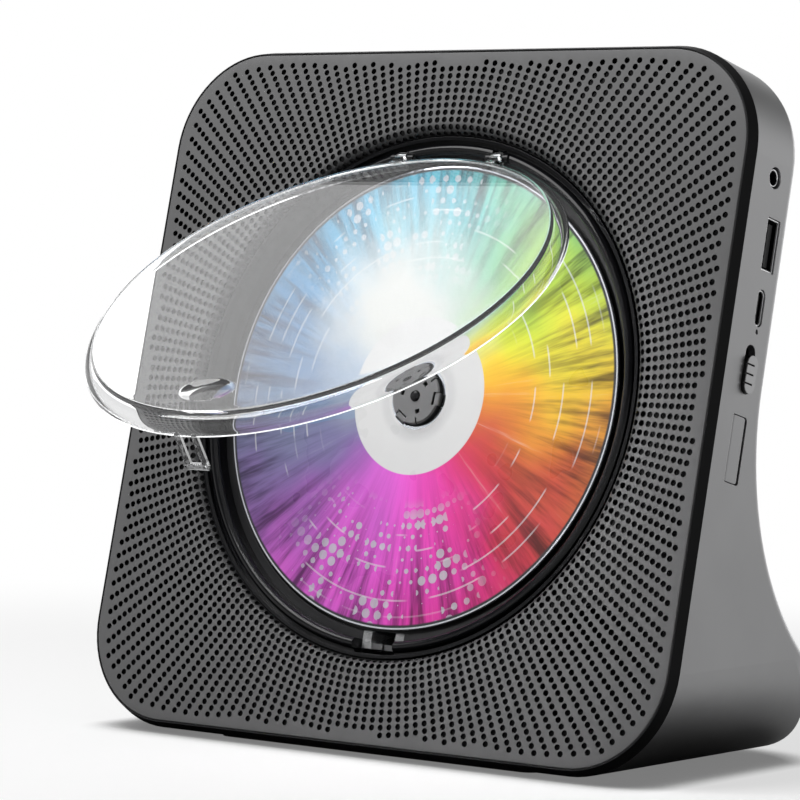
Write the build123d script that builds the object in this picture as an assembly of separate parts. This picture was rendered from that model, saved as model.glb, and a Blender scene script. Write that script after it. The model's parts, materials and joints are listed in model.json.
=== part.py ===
from build123d import *
import os
from math import atan2, cos, radians, sin, sqrt, tan

# Desk-standing compact-disc player: a flared one-piece housing, a perforated front with a round disc
# well, and a clear lid that swings up from a hinge at the top of the well.
#
# Every piece is modelled in the face frame (mm): X to the right, Y up the face, Z out of the grille,
# with its origin at the centre of the grille. stand_up() then turns it into the standing frame:
# X right, Y to the rear, Z up, origin on the floor under the middle of the front foot.
# A depth is a distance behind the grille.

# ---- clearances ------------------------------------------------------------------------------------
GAP = 0.3               # between pieces that do not move
FIT = 0.1               # beside a guided piece
RUNNING = 0.05          # round a shaft, pin or rod that turns or slides
SEAT = 0.02             # round a pin or shaft that is pressed in
# ---- disc ------------------------------------------------------------------------------------------
DISC_R = 60.0
DISC_THICK = 1.2
DISC_HOLE = 7.5
DISC_TOP = 4.9          # depth of the disc's printed face
# ---- disc well and bezel ring, from the disc outwards --------------------------------------------------
WELL_CLEAR = 0.9        # clearance round the disc
RING_STEP = 2.2         # from the well's wall out to the ring's bore
RING_WIDE = 4.6         # width of the ring
RING_TOP = 1.7          # depth of the ring's outer lip
RING_LIP = 0.9          # width of the outer lip
BEAD = 1.5              # radius of the ring's rounded bead
WELL_LAP = 2.5          # how far the well's flange reaches behind the baffle
WELL_WALL = 2.0
WELL_RIM = 1.5          # thickness of the flange
TABLE_HOLE = 15.0       # opening in the floor for the turntable
LENS_SLOT = 12.0        # width of the lens slot
TAB_TURNS = (25, 155, 205, 335)     # directions of the flange's screw tabs
TAB_STEP = 1.8          # from the flange's edge out to the tab screws
TAB_R = 3.2
WELL_R = DISC_R + WELL_CLEAR
RING_BORE = WELL_R + RING_STEP
RING_R = RING_BORE + RING_WIDE
COLLAR_R = RING_R + GAP             # radius of the grille's collar
WELL_FLANGE = COLLAR_R + WELL_LAP
TAB_OUT = WELL_FLANGE + TAB_STEP
# ---- housing -------------------------------------------------------------------------------------
MARGIN = 23.15          # from the collar out to the edge of the front
CORNER = 27.0           # corner radius of the front
LEAN = 13.0             # degrees that the face leans back
WALL = 2.0              # housing wall
SLIM = 23.0             # depth of the slim upper body, from the grille to the back
FLARE = 65.0            # radius of the sweep from the back down to the foot
FLARE_RISE = 100.15     # height at which the sweep starts, above the front's lower edge
REACH = 80.0            # depth of the foot, from the grille to its rear end
REAR_EDGE = 5.0         # rounding along the foot's rear end
PLAN_CORNER = 26.0      # rounding of the foot's rear corners seen from above
BACK_EDGE = 3.2         # rounding between the back and the sides
HALF = COLLAR_R + MARGIN            # half the width and height of the front
FLARE_TOP = FLARE_RISE - HALF
# ---- front stack ---------------------------------------------------------------------------------
TRIM_DEPTH = 3.0        # depth of the bevelled trim
BEVEL = 1.1             # width of the bevel
TRIM_RIM = 0.3          # flat rim between bevel and grille
TRIM_LEDGE = 3.0        # width of the trim's inner flange
SHEET = 0.8             # grille sheet
GRILLE_LIP = 1.8        # depth of the grille's folded lip
GRILLE_GAP = 0.1        # between the lip and the trim
COLLAR_ROLL = 3.0       # radius of the collar's rolled edge
BAFFLE_TOP = 4.2        # depth of the baffle's front face
BAFFLE = 2.0            # baffle thickness
BAFFLE_BACK = BAFFLE_TOP + BAFFLE
# ---- hub -----------------------------------------------------------------------------------------
TABLE_R = 14.0
TABLE_THICK = 1.0
TABLE_GAP = 0.8         # between the turntable and the well's floor
HUB_R = 7.3
HUB_PROUD = 1.6         # how far the hub stands out of the disc
HUB_SLEEVE_R = 3.2
PAWL_W = 3.2
PAWL_TURN = -4.0        # degrees from +X to the first pawl
PAWL_IN = 6.0           # inner side of a pawl
PAWL_BITE = 0.35        # how far a pawl's nose stands out over the disc's hole
PAWL_TRAVEL = 0.45
SHAFT_R = 1.0
SHAFT_HEAD = 1.5        # radius of the domed shaft end
SHAFT_DOME = 0.85       # height of the dome over the hub
DISC_BACK = DISC_TOP + DISC_THICK
WELL_FLOOR = DISC_BACK + TABLE_THICK + TABLE_GAP
WELL_BACK = WELL_FLOOR + WELL_WALL
HUB_TOP = DISC_TOP - HUB_PROUD      # depth of the hub's face
# ---- lid -----------------------------------------------------------------------------------------
LID_CLEAR = 0.7         # between the skirt's lower edge and the ring's bore
LID_TAPER = 2.8         # how much narrower the lid is at its top
LID_DEEP = 5.2          # height of the lid
LID_WALL = 1.5          # thickness of the flat window
LID_AIR = 0.35          # between the closed window and the shaft's dome
SKIRT_WALL = 1.1
LID_ANGLE = 45.0        # how far the lid stands open
HINGE_STEP = 1.1        # from the ring's bore in to the hinge axis
HINGE_Z = 2.6           # hinge axis: depth
PIN_R = 0.75            # hinge pin
EAR_X = 15.0            # middle of each hinge ear
EAR_W = 2.8
EAR_R = 1.6
CHEEK_W = 1.8
CHEEK_R = 1.4
DIMPLE_STEP = 9.6       # from the lid's top edge in to the thumb dimple
DIMPLE_LONG = 7.5
DIMPLE_SHORT = 5.0
DIMPLE_DEEP = 0.9
HOOK_W = 6.8            # snap hook: width over both arms
HOOK_ARM = 1.5
HOOK_THICK = 1.0
HOOK_LONG = 9.6
HOOK_BARB = 0.6
HOOK_IN = 0.3           # between the hook's outer side and the skirt's
LID_R = RING_BORE - LID_CLEAR       # radius of the skirt's lower edge
LID_TOP_R = LID_R - LID_TAPER       # radius of the lid's top edge
LID_TOP = HUB_TOP - SHAFT_DOME - LID_AIR - LID_WALL     # depth of the closed lid's top face
LID_BOTTOM = LID_TOP + LID_DEEP
HINGE_Y = RING_BORE - HINGE_STEP
# ---- latch ---------------------------------------------------------------------------------------
LATCH_W = 12.8          # width of the latch pocket
LATCH_ROOM = 2.2        # pocket's inner side, in from the skirt's edge
LATCH_RIM = 1.2         # pocket's outer side, in from the ring's
LATCH_WALL = 1.6
LATCH_FRONT = 3.8       # depth of the guides' front ends
HOOK_SWING = 1.2        # room outside the skirt's edge for the hook's barb as it swings in
SHUTTLE_W = 6.4
SHUTTLE_LONG = 10.0
SHUTTLE_STEP = 0.5      # from the guides' front ends to the catch's
SHUTTLE_TRAVEL = 1.5
SPRING_ROOM = 1.8       # room behind the pressed catch for its spring
LATCH_IN = LID_R - LATCH_ROOM
LATCH_OUT = RING_R - LATCH_RIM
HOOK_PATH = LID_R + HOOK_SWING
SHUTTLE_TOP = LATCH_FRONT + SHUTTLE_STEP
LATCH_DEEP = SHUTTLE_TOP + SHUTTLE_LONG + SHUTTLE_TRAVEL + SPRING_ROOM
# ---- mechanism -----------------------------------------------------------------------------------
PLATE = 1.0             # chassis plate
PLATE_GAP = 1.3         # between the well's floor and the plate
MOTOR_R = 11.0
MOTOR_DEEP = 5.4
DAMPER_XY = ((-17, 20), (50, 20), (-17, -26), (50, -26))
DAMPER_PIN = 2.0
DAMPER_R = 4.0
DAMPER_NECK = 2.95      # radius of the grommets' groove
DAMPER_LIP = 0.7        # thickness of the grommets' lips
DAMPER_WASHER = (3.2, 1.0)      # radius and thickness of the screws' washer heads
ROD_R = 1.0
ROD_Y = 13.0
ROD_DROP = 2.0          # from the plate down to the rods' axis
LUG = 2.0               # thickness of the lugs that hold the rods
LUG_SIDE = 1.8          # from a rod's axis to the sides of its lug
LENS_START = 24.0       # lens radius at the inner stop
LENS_STOP = 4.0         # from the lens at the outer stop to the disc's edge
LENS_TOWER = 7.6
LENS_GAP = 0.2          # between the lens tower and the front of the well's floor
SLED_LONG = 12.0
SLED_SLOT = 22.0
SLED_STOP = 0.8         # between the sled and the lugs at either stop
SLED_THICK = 2.0        # of the sled, behind the rods' axis
SCREW_R = 1.2
SCREW_Y = -18.6
SCREW_DROP = 1.5        # from the rods' axis down to the lead screw's
SLED_MOTOR_R = 3.4
SLED_MOTOR_LONG = 11.0
SLED_TRAVEL = DISC_R - LENS_STOP - LENS_START
PLATE_TOP = WELL_BACK + PLATE_GAP
PLATE_BACK = PLATE_TOP + PLATE
DAMPER_TOP = PLATE_TOP - DAMPER_LIP
DAMPER_END = PLATE_BACK + DAMPER_LIP
ROD_Z = PLATE_BACK + ROD_DROP
SCREW_Z = ROD_Z + SCREW_DROP
ROD_START = LENS_START - SLED_LONG / 2 - SLED_STOP - LUG
ROD_END = LENS_START + SLED_TRAVEL + SLED_LONG / 2 + SLED_STOP + LUG
# ---- speakers ------------------------------------------------------------------------------------
SPEAKER_R = 18.5
SPEAKER_GAP = 2.2       # between a speaker and the well's flange
BASKET_RIM = 1.5        # thickness of the basket's rim
BASKET_DEEP = 9.0
CONE_R = 15.2
MAGNET_R = 10.5
MAGNET_DEEP = 6.0
SPEAKER_XY = (WELL_FLANGE + SPEAKER_R + SPEAKER_GAP) / sqrt(2)
# ---- side ports: heights down from the top edge, lifts up from the port board --------------------------
BOARD = 1.2             # thickness of a circuit board
PORT_POST = 1.7         # between the port board and the housing's back
PORT_BOARD_EDGE = 2.65  # between the port board and the side wall
PORT_BOARD_WIDE = 14.0
PORT_BOARD_TOP, PORT_BOARD_LONG = 25.15, 84.0
JACK_DOWN, JACK_LIFT, JACK_BORE, JACK_SLEEVE = 31.05, 5.3, 1.8, 2.6
JACK_LONG, JACK_SUNK = 13.0, 1.0
USB_A_DOWN, USB_A_W, USB_A_H = 47.4, 13.0, 5.6
USB_C_DOWN, USB_C_LIFT, USB_C_W, USB_C_H = 63.25, 3.5, 8.9, 3.2
USB_SHELL = 0.3         # thickness of the sockets' shells
USB_SUNK = 0.4          # how far the sockets sit below the side
LED_DOWN, LED_R = 69.15, 0.55
SWITCH_DOWN, SWITCH_LIFT, SWITCH_SLOT, SWITCH_H = 78.75, 4.85, 12.2, 4.6
SWITCH_CORNER = 2.1
KNOB_LONG, KNOB_PROUD, KNOB_STEM = 9.4, 1.6, 3.0
KNOB_RIDGES, RIDGE_R, RIDGE_PITCH = 3, 0.5, 2.3
FLAP_DOWN, FLAP_LONG, FLAP_WIDE, FLAP_THICK = 90.55, 16.3, 5.4, 1.5
FLAP_LIFT = 7.5         # from the port board up to the flap's hinge axis
FLAP_GAP = 0.25         # round the flap's free edges
FLAP_CORNER = 0.8
FLAP_PIN, FLAP_PIN_OUT = 0.45, 0.9
CARD_LIFT, CARD_W, CARD_SLOT = 4.5, 11.2, 1.0
PORT_BOARD_Z = SLIM - WALL - PORT_POST - BOARD      # depth of the port board's front face
PORT_BOARD_OUT = HALF - WALL - PORT_BOARD_EDGE
PORT_BOARD_IN = PORT_BOARD_OUT - PORT_BOARD_WIDE
PORT_BOARD_HIGH = HALF - PORT_BOARD_TOP
PORT_BOARD_LOW = PORT_BOARD_HIGH - PORT_BOARD_LONG
JACK_Y, JACK_Z = HALF - JACK_DOWN, PORT_BOARD_Z - JACK_LIFT
USB_A_Y, USB_A_Z = HALF - USB_A_DOWN, PORT_BOARD_Z - USB_A_H / 2
USB_C_Y, USB_C_Z = HALF - USB_C_DOWN, PORT_BOARD_Z - USB_C_LIFT
LED_Y, LED_Z = HALF - LED_DOWN, USB_C_Z
SWITCH_Y, SWITCH_Z = HALF - SWITCH_DOWN, PORT_BOARD_Z - SWITCH_LIFT
SWITCH_TRAVEL = SWITCH_SLOT - KNOB_LONG - 2 * FIT
FLAP_TOP, FLAP_HINGE_Z = HALF - FLAP_DOWN, PORT_BOARD_Z - FLAP_LIFT
FLAP_LOW, FLAP_END_Z = FLAP_TOP - FLAP_LONG, FLAP_HINGE_Z + FLAP_WIDE
CARD_Y, CARD_Z = FLAP_TOP - FLAP_LONG / 2, PORT_BOARD_Z - CARD_LIFT
# ---- top buttons ---------------------------------------------------------------------------------
BUTTONS = 6
BUTTON_R = 4.0
BUTTON_PITCH = 13.0
BUTTON_PROUD = 0.5
BUTTON_TRAVEL = 0.8
BUTTON_FLANGE = 0.7     # width of the flange that keeps a button in
BUTTON_STEM = 2.6
TACT, TACT_HIGH = 6.0, 3.7          # side and height of a tact switch
TACT_PLUNGER = (2.6, 0.5)           # its plunger's side and height
BUTTON_BOARD_DOWN = 6.75            # from the housing's ceiling to the button board's upper face
BUTTON_BOARD_WIDE = 10.0
BUTTON_Z = (TRIM_DEPTH + SLIM) / 2
BUTTON_BOARD_Y = HALF - WALL - BUTTON_BOARD_DOWN
BUTTON_BOARD_END = BUTTON_PITCH * BUTTONS / 2 + 3.5
TACT_TOP = BUTTON_BOARD_Y + TACT_HIGH
# ---- foot ----------------------------------------------------------------------------------------
FOOT_LONG, FOOT_WIDE, FOOT_THICK = 100.0, 8.0, 1.2
FRONT_FOOT = 9.0        # from the front edge of the underside to the middle of the front foot
REAR_FOOT = 66.0
CELL_R, CELL_LONG = 9.1, 65.0
CELL_BACK, CELL_LIFT = 31.0, 12.5
CRADLE_RIB, CRADLE_SIDE = 2.4, 2.5
MAIN_BOARD_LONG, MAIN_BOARD_WIDE = 100.0, 28.0
MAIN_BOARD_BACK, MAIN_BOARD_LIFT = 58.0, 6.0
CHIPS = ((-8, 2, 12, 1.4), (12, -4, 8, 1.2), (-30, 4, 7, 1.2))      # across, along, side and height
CANS = (28, 35, 42)                 # capacitors across the board
CAN_ROW, CAN_R, CAN_HIGH = -6.0, 2.5, 5.5
# ---- screws: shaft radius, head radius, head thickness ----------------------------------------------
HOUSING_SCREW = (1.2, 2.6, 1.4)
TAB_SCREW = (0.95, 1.9, 1.2)
SCREW_TIP = 0.6         # from a screw's tip to the baffle's front face
UPPER_SCREW_IN, UPPER_SCREW_DOWN = 36.15, 15.15
LOWER_SCREW_IN, LOWER_SCREW_BACK, LOWER_SCREW_LONG = 34.15, 7.4, 5.5
SCREW_LUG, SCREW_LUG_DEEP, SCREW_LUG_GAP = 8.0, 8.0, 0.4
BOSS_R = 3.2
POST = 4.2              # side of a board post
UPPER_SCREW = (HALF - UPPER_SCREW_IN, HALF - UPPER_SCREW_DOWN)
LOWER_SCREW_X = HALF - LOWER_SCREW_IN
SCREW_LUG_TOP = -SPEAKER_XY - SPEAKER_R - SCREW_LUG_GAP

SIDES = (-1, 1)
PARTS = {}


def at_depth(depth):
    """Plane parallel to the face, at a depth behind the grille."""
    return Plane.XY.offset(-depth)


def slab(half, corner, front, back):
    """Rounded square between two depths."""
    return extrude(at_depth(back) * RectangleRounded(2 * half, 2 * half, corner), back - front)


def disc(radius, front, back, x=0, y=0):
    """Round slug along the face's normal between two depths."""
    return extrude(at_depth(back) * Pos(x, y) * Circle(radius), back - front)


def block(x0, x1, y0, y1, front, back):
    """Box between two depths."""
    return Pos((x0 + x1) / 2, (y0 + y1) / 2, -(front + back) / 2) * Box(abs(x1 - x0), y1 - y0, back - front)


def post(side, x, y, front, back):
    """Square upright between two depths."""
    return block(x - side / 2, x + side / 2, y - side / 2, y + side / 2, front, back)


def rod_x(radius, x0, x1, y, depth):
    """Round rod along X."""
    return Pos((x0 + x1) / 2, y, -depth) * Rot(0, 90, 0) * Cylinder(radius, abs(x1 - x0))


def rod_y(radius, y0, y1, x, depth):
    """Round rod along Y."""
    return Pos(x, (y0 + y1) / 2, -depth) * Rot(90, 0, 0) * Cylinder(radius, y1 - y0)


def turned(points):
    """Ring or dish turned about the face's normal from (radius, depth) corners."""
    outline = make_face(Polyline([(r, 0, -depth) for r, depth in points], close=True))
    return revolve(outline, Axis.Z)


def underside(back):
    """Point on the housing's flat underside at a distance behind its front edge, along the floor."""
    rise = Vector(0, sin(radians(LEAN)), -cos(radians(LEAN))) * back
    return Vector(0, -HALF, -TRIM_DEPTH) + rise


def floor_plane(back, lift=0.0):
    """Plane that lies level, its X to the right and its Y to the rear, lifted off the underside."""
    up = Vector(0, cos(radians(LEAN)), sin(radians(LEAN)))
    return Plane(origin=underside(back) + up * lift, x_dir=(1, 0, 0), z_dir=up)


def stand_up(shape):
    """Turn a piece from the face frame into the standing frame."""
    origin = floor_plane(FRONT_FOOT, -FOOT_THICK).origin
    return Rot(90 - LEAN, 0, 0) * (Pos(-origin.X, -origin.Y, -origin.Z) * shape)


def opened(shape):
    """Swing a piece of the closed lid to the angle at which the lid stands open."""
    hinge = Pos(0, HINGE_Y, -HINGE_Z)
    return hinge * Rot(-LID_ANGLE, 0, 0) * hinge.inverse() * shape


def keep(name, *solids):
    """Write one node, with as many separate solids as it is given."""
    placed = [stand_up(solid) for shape in solids for solid in shape.solids()]
    PARTS[name] = placed[0] if len(placed) == 1 else Compound(children=placed)


# ---- housing ---------------------------------------------------------------------------------------
def side_profile(inset):
    """Slim back, concave sweep and rounded foot, seen from the side."""
    radius, centre_z = FLARE + inset, -SLIM - FLARE
    back_z, rear_z = -SLIM + inset, -REACH + inset
    bottom = underside(0).Y + inset / cos(radians(LEAN))
    rise = tan(radians(LEAN))

    def on_sweep(angle):
        return FLARE_TOP - radius * cos(angle), centre_z + radius * sin(angle)

    end = atan2(rear_z - centre_z, radius)
    heel = bottom + rise * (-rear_z - TRIM_DEPTH)
    toe = bottom - rise * (2 * TRIM_DEPTH)
    top = HALF + TRIM_DEPTH
    outline = Polyline(on_sweep(end), (heel, rear_z), (toe, TRIM_DEPTH), (top, TRIM_DEPTH),
                       (top, back_z), (FLARE_TOP, back_z))
    sweep = ThreePointArc((FLARE_TOP, back_z), on_sweep((radians(90) + end) / 2), on_sweep(end))
    face = make_face(outline + sweep)
    rear = [v for v in face.vertices() if abs(v.Y - rear_z) < 0.01]
    return fillet(rear, REAR_EDGE - inset)


def body_form(inset):
    """Outer form of the housing, or its cavity when inset by the wall."""
    half, corner = HALF - inset, CORNER - inset
    section = at_depth(TRIM_DEPTH) * RectangleRounded(2 * half, 2 * half, corner)
    upright = extrude(section, REACH, dir=(0, 0, -1))
    level = extrude(section, REACH / cos(radians(LEAN)),
                    dir=(0, sin(radians(LEAN)), -cos(radians(LEAN))))
    sides = extrude(Plane.YZ * side_profile(inset), 2 * HALF, both=True)
    outline = RectangleRounded(2 * half, 2 * (REACH - inset), PLAN_CORNER - inset)
    plan = extrude(Plane.XZ * outline, 2 * HALF, both=True)
    return upright & level & sides & plan


def back_rim(form):
    """Edges between the back and the sides, from the slim top to the foot."""
    rim = []
    for edge in form.edges():
        box = edge.bounding_box()
        on_side = abs(abs(edge.center().X) - HALF) < 0.01 and box.min.Z > -REACH + PLAN_CORNER + 1
        on_back = abs(box.min.Z + SLIM) < 0.01 and abs(box.max.Z + SLIM) < 0.01
        if (on_side and box.max.Z < -SLIM + 0.01) or on_back:
            if not (on_back and abs(edge.center().Y - FLARE_TOP) < 0.01):
                rim.append(edge)
    return rim


def through_side(shape_2d, y, depth):
    """Cutter of a flat outline through the right-hand wall, its X along the height of the face."""
    return extrude(Plane.YZ.offset(HALF - WALL - 1) * Pos(y, -depth) * shape_2d, WALL + 2)


def free_edges(flap):
    """The two corners of the flap or its opening that lie away from the hinge."""
    return flap.edges().filter_by(Axis.X).group_by(Axis.Z)[0]


def flap_opening():
    """Cutter for the card flap and its two pivots."""
    low, high = FLAP_LOW - FLAP_GAP, FLAP_TOP + FLAP_GAP
    front = FLAP_HINGE_Z - FLAP_THICK / 2 - FIT
    opening = block(HALF - WALL - 1, HALF + 1, low, high, front, FLAP_END_Z + FLAP_GAP)
    opening = fillet(free_edges(opening), FLAP_CORNER + FLAP_GAP)
    pivots = rod_y(FLAP_PIN + RUNNING, FLAP_LOW - FLAP_PIN_OUT - FIT, FLAP_TOP + FLAP_PIN_OUT + FIT,
                   HALF - FLAP_THICK / 2, FLAP_HINGE_Z)
    return opening + pivots


def side_openings():
    """Everything that pierces the right-hand wall."""
    cutter = rod_x(JACK_SLEEVE + FIT, HALF - WALL - 1, HALF + 1, JACK_Y, JACK_Z)
    cutter += rod_x(LED_R + FIT, HALF - WALL - 1, HALF + 1, LED_Y, LED_Z)
    cutter += through_side(RectangleRounded(USB_A_W + GAP, USB_A_H + GAP, GAP), USB_A_Y, USB_A_Z)
    pill = RectangleRounded(USB_C_W + GAP, USB_C_H + GAP, USB_C_H / 2)
    cutter += through_side(pill, USB_C_Y, USB_C_Z)
    slot = RectangleRounded(SWITCH_SLOT, SWITCH_H, SWITCH_CORNER + FIT)
    return cutter + through_side(slot, SWITCH_Y, SWITCH_Z) + flap_opening()


def button_x():
    """Middles of the top buttons, left to right."""
    return [BUTTON_PITCH * (i - (BUTTONS - 1) / 2) for i in range(BUTTONS)]


def screw_seats():
    """Countersinks and shaft holes for the housing screws."""
    shaft, head, thick = HOUSING_SCREW
    seats = []
    for side in SIDES:
        x, y = side * UPPER_SCREW[0], UPPER_SCREW[1]
        seats.append(disc(shaft + FIT, BAFFLE_TOP, SLIM + 1, x, y))
        seats.append(disc(head + FIT, SLIM - thick, SLIM + 1, x, y))
        lower = floor_plane(LOWER_SCREW_BACK) * Pos(side * LOWER_SCREW_X, 0, 0)
        seats.append(lower * Cylinder(shaft + FIT, 4 * WALL))
        seats.append(lower * Cylinder(head + FIT, 2 * thick))
    return seats


def shell_fixings():
    """Bosses, board posts and the battery cradle, moulded inside the housing."""
    fixings = []
    inside = SLIM - WALL / 2
    cradle = CELL_LIFT - WALL / 2
    seat = floor_plane(CELL_BACK, CELL_LIFT) * Rot(0, 90, 0) * Cylinder(CELL_R + 2 * FIT, 2 * CELL_LONG)
    for side in SIDES:
        fixings.append(disc(BOSS_R, BAFFLE_BACK, inside, side * UPPER_SCREW[0], UPPER_SCREW[1]))
        hanger = side * (BUTTON_BOARD_END - POST / 2)
        fixings.append(block(hanger - POST / 2, hanger + POST / 2, BUTTON_BOARD_Y, HALF - WALL / 2,
                             BUTTON_Z - POST / 2, BUTTON_Z + POST / 2))
        for end in SIDES:
            back = MAIN_BOARD_BACK + end * (MAIN_BOARD_WIDE / 2 - POST)
            height = MAIN_BOARD_LIFT - WALL / 2
            base = floor_plane(back, WALL / 2) * Pos(side * (MAIN_BOARD_LONG / 2 - POST), 0, height / 2)
            fixings.append(base * Box(POST, POST, height))
        saddle = floor_plane(CELL_BACK, WALL / 2) * Pos(side * CELL_LONG / 3, 0, cradle / 2)
        fixings.append(saddle * Box(CRADLE_RIB, 2 * (CELL_R + CRADLE_SIDE), cradle) - seat)
    for y in (FLARE_TOP + POST / 2, PORT_BOARD_HIGH - POST):
        fixings.append(post(POST, PORT_BOARD_IN + PORT_BOARD_WIDE / 2, y, PORT_BOARD_Z + BOARD, inside))
    return fixings


def body_shell():
    """One-piece housing: slim upper body, swept back and broad foot."""
    outer = body_form(0)
    shell = fillet(back_rim(outer), BACK_EDGE) - body_form(WALL)
    shell += shell_fixings()
    shell -= side_openings()
    shell -= screw_seats()
    shell -= [rod_y(BUTTON_R + FIT, HALF - WALL - 1, HALF + 1, x, BUTTON_Z) for x in button_x()]
    keep("body_shell", shell)


def feet():
    """Two rubber strips under the housing."""
    for name, back in (("front_foot", FRONT_FOOT), ("rear_foot", REAR_FOOT)):
        strip = RectangleRounded(FOOT_LONG, FOOT_WIDE, FOOT_WIDE / 2 - FIT)
        keep(name, extrude(floor_plane(back, -FOOT_THICK) * strip, FOOT_THICK))


def housing_screws():
    """Two screws through the back and two through the underside."""
    shaft, head, thick = HOUSING_SCREW
    screws = []
    for side in SIDES:
        x, y = side * UPPER_SCREW[0], UPPER_SCREW[1]
        pin = disc(shaft, BAFFLE_TOP + SCREW_TIP, SLIM - thick, x, y)
        screws.append(pin + disc(head, SLIM - thick, SLIM, x, y))
        start = floor_plane(LOWER_SCREW_BACK) * Pos(side * LOWER_SCREW_X, 0, 0)
        pin = start * Pos(0, 0, LOWER_SCREW_LONG / 2) * Cylinder(shaft, LOWER_SCREW_LONG)
        screws.append(pin + start * Pos(0, 0, thick / 2) * Cylinder(head, thick))
    keep("housing_screws", *screws)


# ---- front stack -----------------------------------------------------------------------------------
def front_trim():
    """Bevelled frame round the grille, with the flange that carries the grille's lip."""
    front_half = HALF - BEVEL
    low = at_depth(TRIM_DEPTH) * RectangleRounded(2 * HALF, 2 * HALF, CORNER)
    high = Plane.XY * RectangleRounded(2 * front_half, 2 * front_half, CORNER - BEVEL)
    inner = front_half - TRIM_RIM
    corner = CORNER - BEVEL - TRIM_RIM
    room = WALL + 2 * GAP
    tongue = slab(HALF - room, CORNER - room, TRIM_DEPTH, BAFFLE_TOP)
    trim = loft([low, high]) + tongue
    trim -= slab(inner, corner, -1, GRILLE_LIP)
    trim -= slab(inner - TRIM_LEDGE, corner - TRIM_LEDGE, -1, BAFFLE_TOP + 1)
    keep("front_trim", trim)


def grille_collar():
    """Rolled edge of the grille round the disc well."""
    roll, inner = COLLAR_ROLL, COLLAR_ROLL - SHEET
    centre = COLLAR_R + roll
    bend = sin(radians(45))
    top = Line((centre, 0), (centre, -SHEET))
    inside = ThreePointArc((centre, -SHEET), (centre - inner * bend, -roll + inner * bend),
                           (COLLAR_R + SHEET, -roll))
    skirt = Polyline((COLLAR_R + SHEET, -roll), (COLLAR_R + SHEET, -BAFFLE_TOP), (COLLAR_R, -BAFFLE_TOP),
                     (COLLAR_R, -roll))
    outside = ThreePointArc((COLLAR_R, -roll), (centre - roll * bend, -roll + roll * bend), (centre, 0))
    outline = Plane.XZ * make_face(top + inside + skirt + outside)
    return revolve(outline, Axis.Z)


def speaker_grille():
    """Pressed front sheet with a folded lip and a rolled collar."""
    half = HALF - BEVEL - TRIM_RIM - GRILLE_GAP
    corner = CORNER - BEVEL - TRIM_RIM - GRILLE_GAP
    grille = slab(half, corner, 0, GRILLE_LIP)
    grille -= slab(half - SHEET, corner - SHEET, SHEET, GRILLE_LIP + 1)
    grille -= disc(COLLAR_R + COLLAR_ROLL, -1, SHEET + 1)
    keep("speaker_grille", grille + grille_collar())


def tab_spots():
    """Middles of the screw tabs on the well's flange."""
    return [(TAB_OUT * cos(radians(turn)), TAB_OUT * sin(radians(turn))) for turn in TAB_TURNS]


def front_baffle():
    """Moulded plate behind the grille, which carries the well and the speakers."""
    room = body_form(WALL + GAP)
    plate = room & slab(HALF, CORNER, BAFFLE_TOP, BAFFLE_BACK)
    plate -= disc(COLLAR_R, BAFFLE_TOP - 1, BAFFLE_BACK + 1)
    blind = BAFFLE_TOP + SCREW_TIP - FIT
    shaft = HOUSING_SCREW[0] + RUNNING
    for side in SIDES:
        x = side * LOWER_SCREW_X
        lug = block(x - SCREW_LUG / 2, x + SCREW_LUG / 2, -HALF, SCREW_LUG_TOP,
                    BAFFLE_BACK, BAFFLE_BACK + SCREW_LUG_DEEP)
        plate += room & lug
        plate -= floor_plane(LOWER_SCREW_BACK) * Pos(x, 0, 0) * Cylinder(shaft, 2 * (LOWER_SCREW_LONG + GAP))
        plate -= disc(CONE_R, BAFFLE_TOP - 1, BAFFLE_BACK + 1, side * SPEAKER_XY, -SPEAKER_XY)
        plate -= disc(shaft, blind, BAFFLE_BACK + 1, side * UPPER_SCREW[0], UPPER_SCREW[1])
    for x, y in tab_spots():
        plate -= disc(TAB_SCREW[0] + RUNNING, blind, BAFFLE_BACK + 1, x, y)
    keep("front_baffle", plate)


# ---- disc well -------------------------------------------------------------------------------------
def latch_room(front, back):
    """Pocket in which the lid's hook lands."""
    return block(-LATCH_W / 2, LATCH_W / 2, -LATCH_OUT, -LATCH_IN, front, back)


def hinge_cheek(x0, x1):
    """Upright that holds one end of a hinge pin."""
    cheek = rod_x(CHEEK_R, x0, x1, HINGE_Y, HINGE_Z)
    return cheek + block(x0, x1, HINGE_Y - GAP, HINGE_Y + CHEEK_R, HINGE_Z, BAFFLE_BACK)


def well_ring():
    """Gloss bezel: rounded bead, outer lip, hinge pockets and latch gap."""
    valley, bead_out, lip_in = RING_TOP + BEAD, RING_BORE + 2 * BEAD, RING_R - RING_LIP
    inner = Polyline((RING_R, -BAFFLE_BACK), (RING_BORE, -BAFFLE_BACK), (RING_BORE, -valley))
    bead = ThreePointArc((RING_BORE, -valley), (RING_BORE + BEAD, BEAD - valley), (bead_out, -valley))
    rim = Polyline((bead_out, -valley), (lip_in, -valley), (lip_in, -RING_TOP), (RING_R, -RING_TOP),
                   (RING_R, -BAFFLE_BACK))
    ring = revolve(Plane.XZ * make_face(inner + bead + rim), Axis.Z)
    near = EAR_X - EAR_W / 2 - GAP
    far = EAR_X + EAR_W / 2 + GAP
    for side in SIDES:
        ring += hinge_cheek(side * near, side * (near - CHEEK_W))
        ring += hinge_cheek(side * far, side * (far + CHEEK_W))
        ring -= block(side * near, side * far, HINGE_Y - 2 * EAR_R, HINGE_Y + EAR_R + 2 * GAP,
                      -1, BAFFLE_BACK + 1)
        ring -= rod_x(PIN_R + SEAT, side * (near - CHEEK_W - FIT), side * (far + CHEEK_W + FIT),
                      HINGE_Y, HINGE_Z)
    keep("well_ring", ring - latch_room(-1, BAFFLE_BACK + 1))


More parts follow.
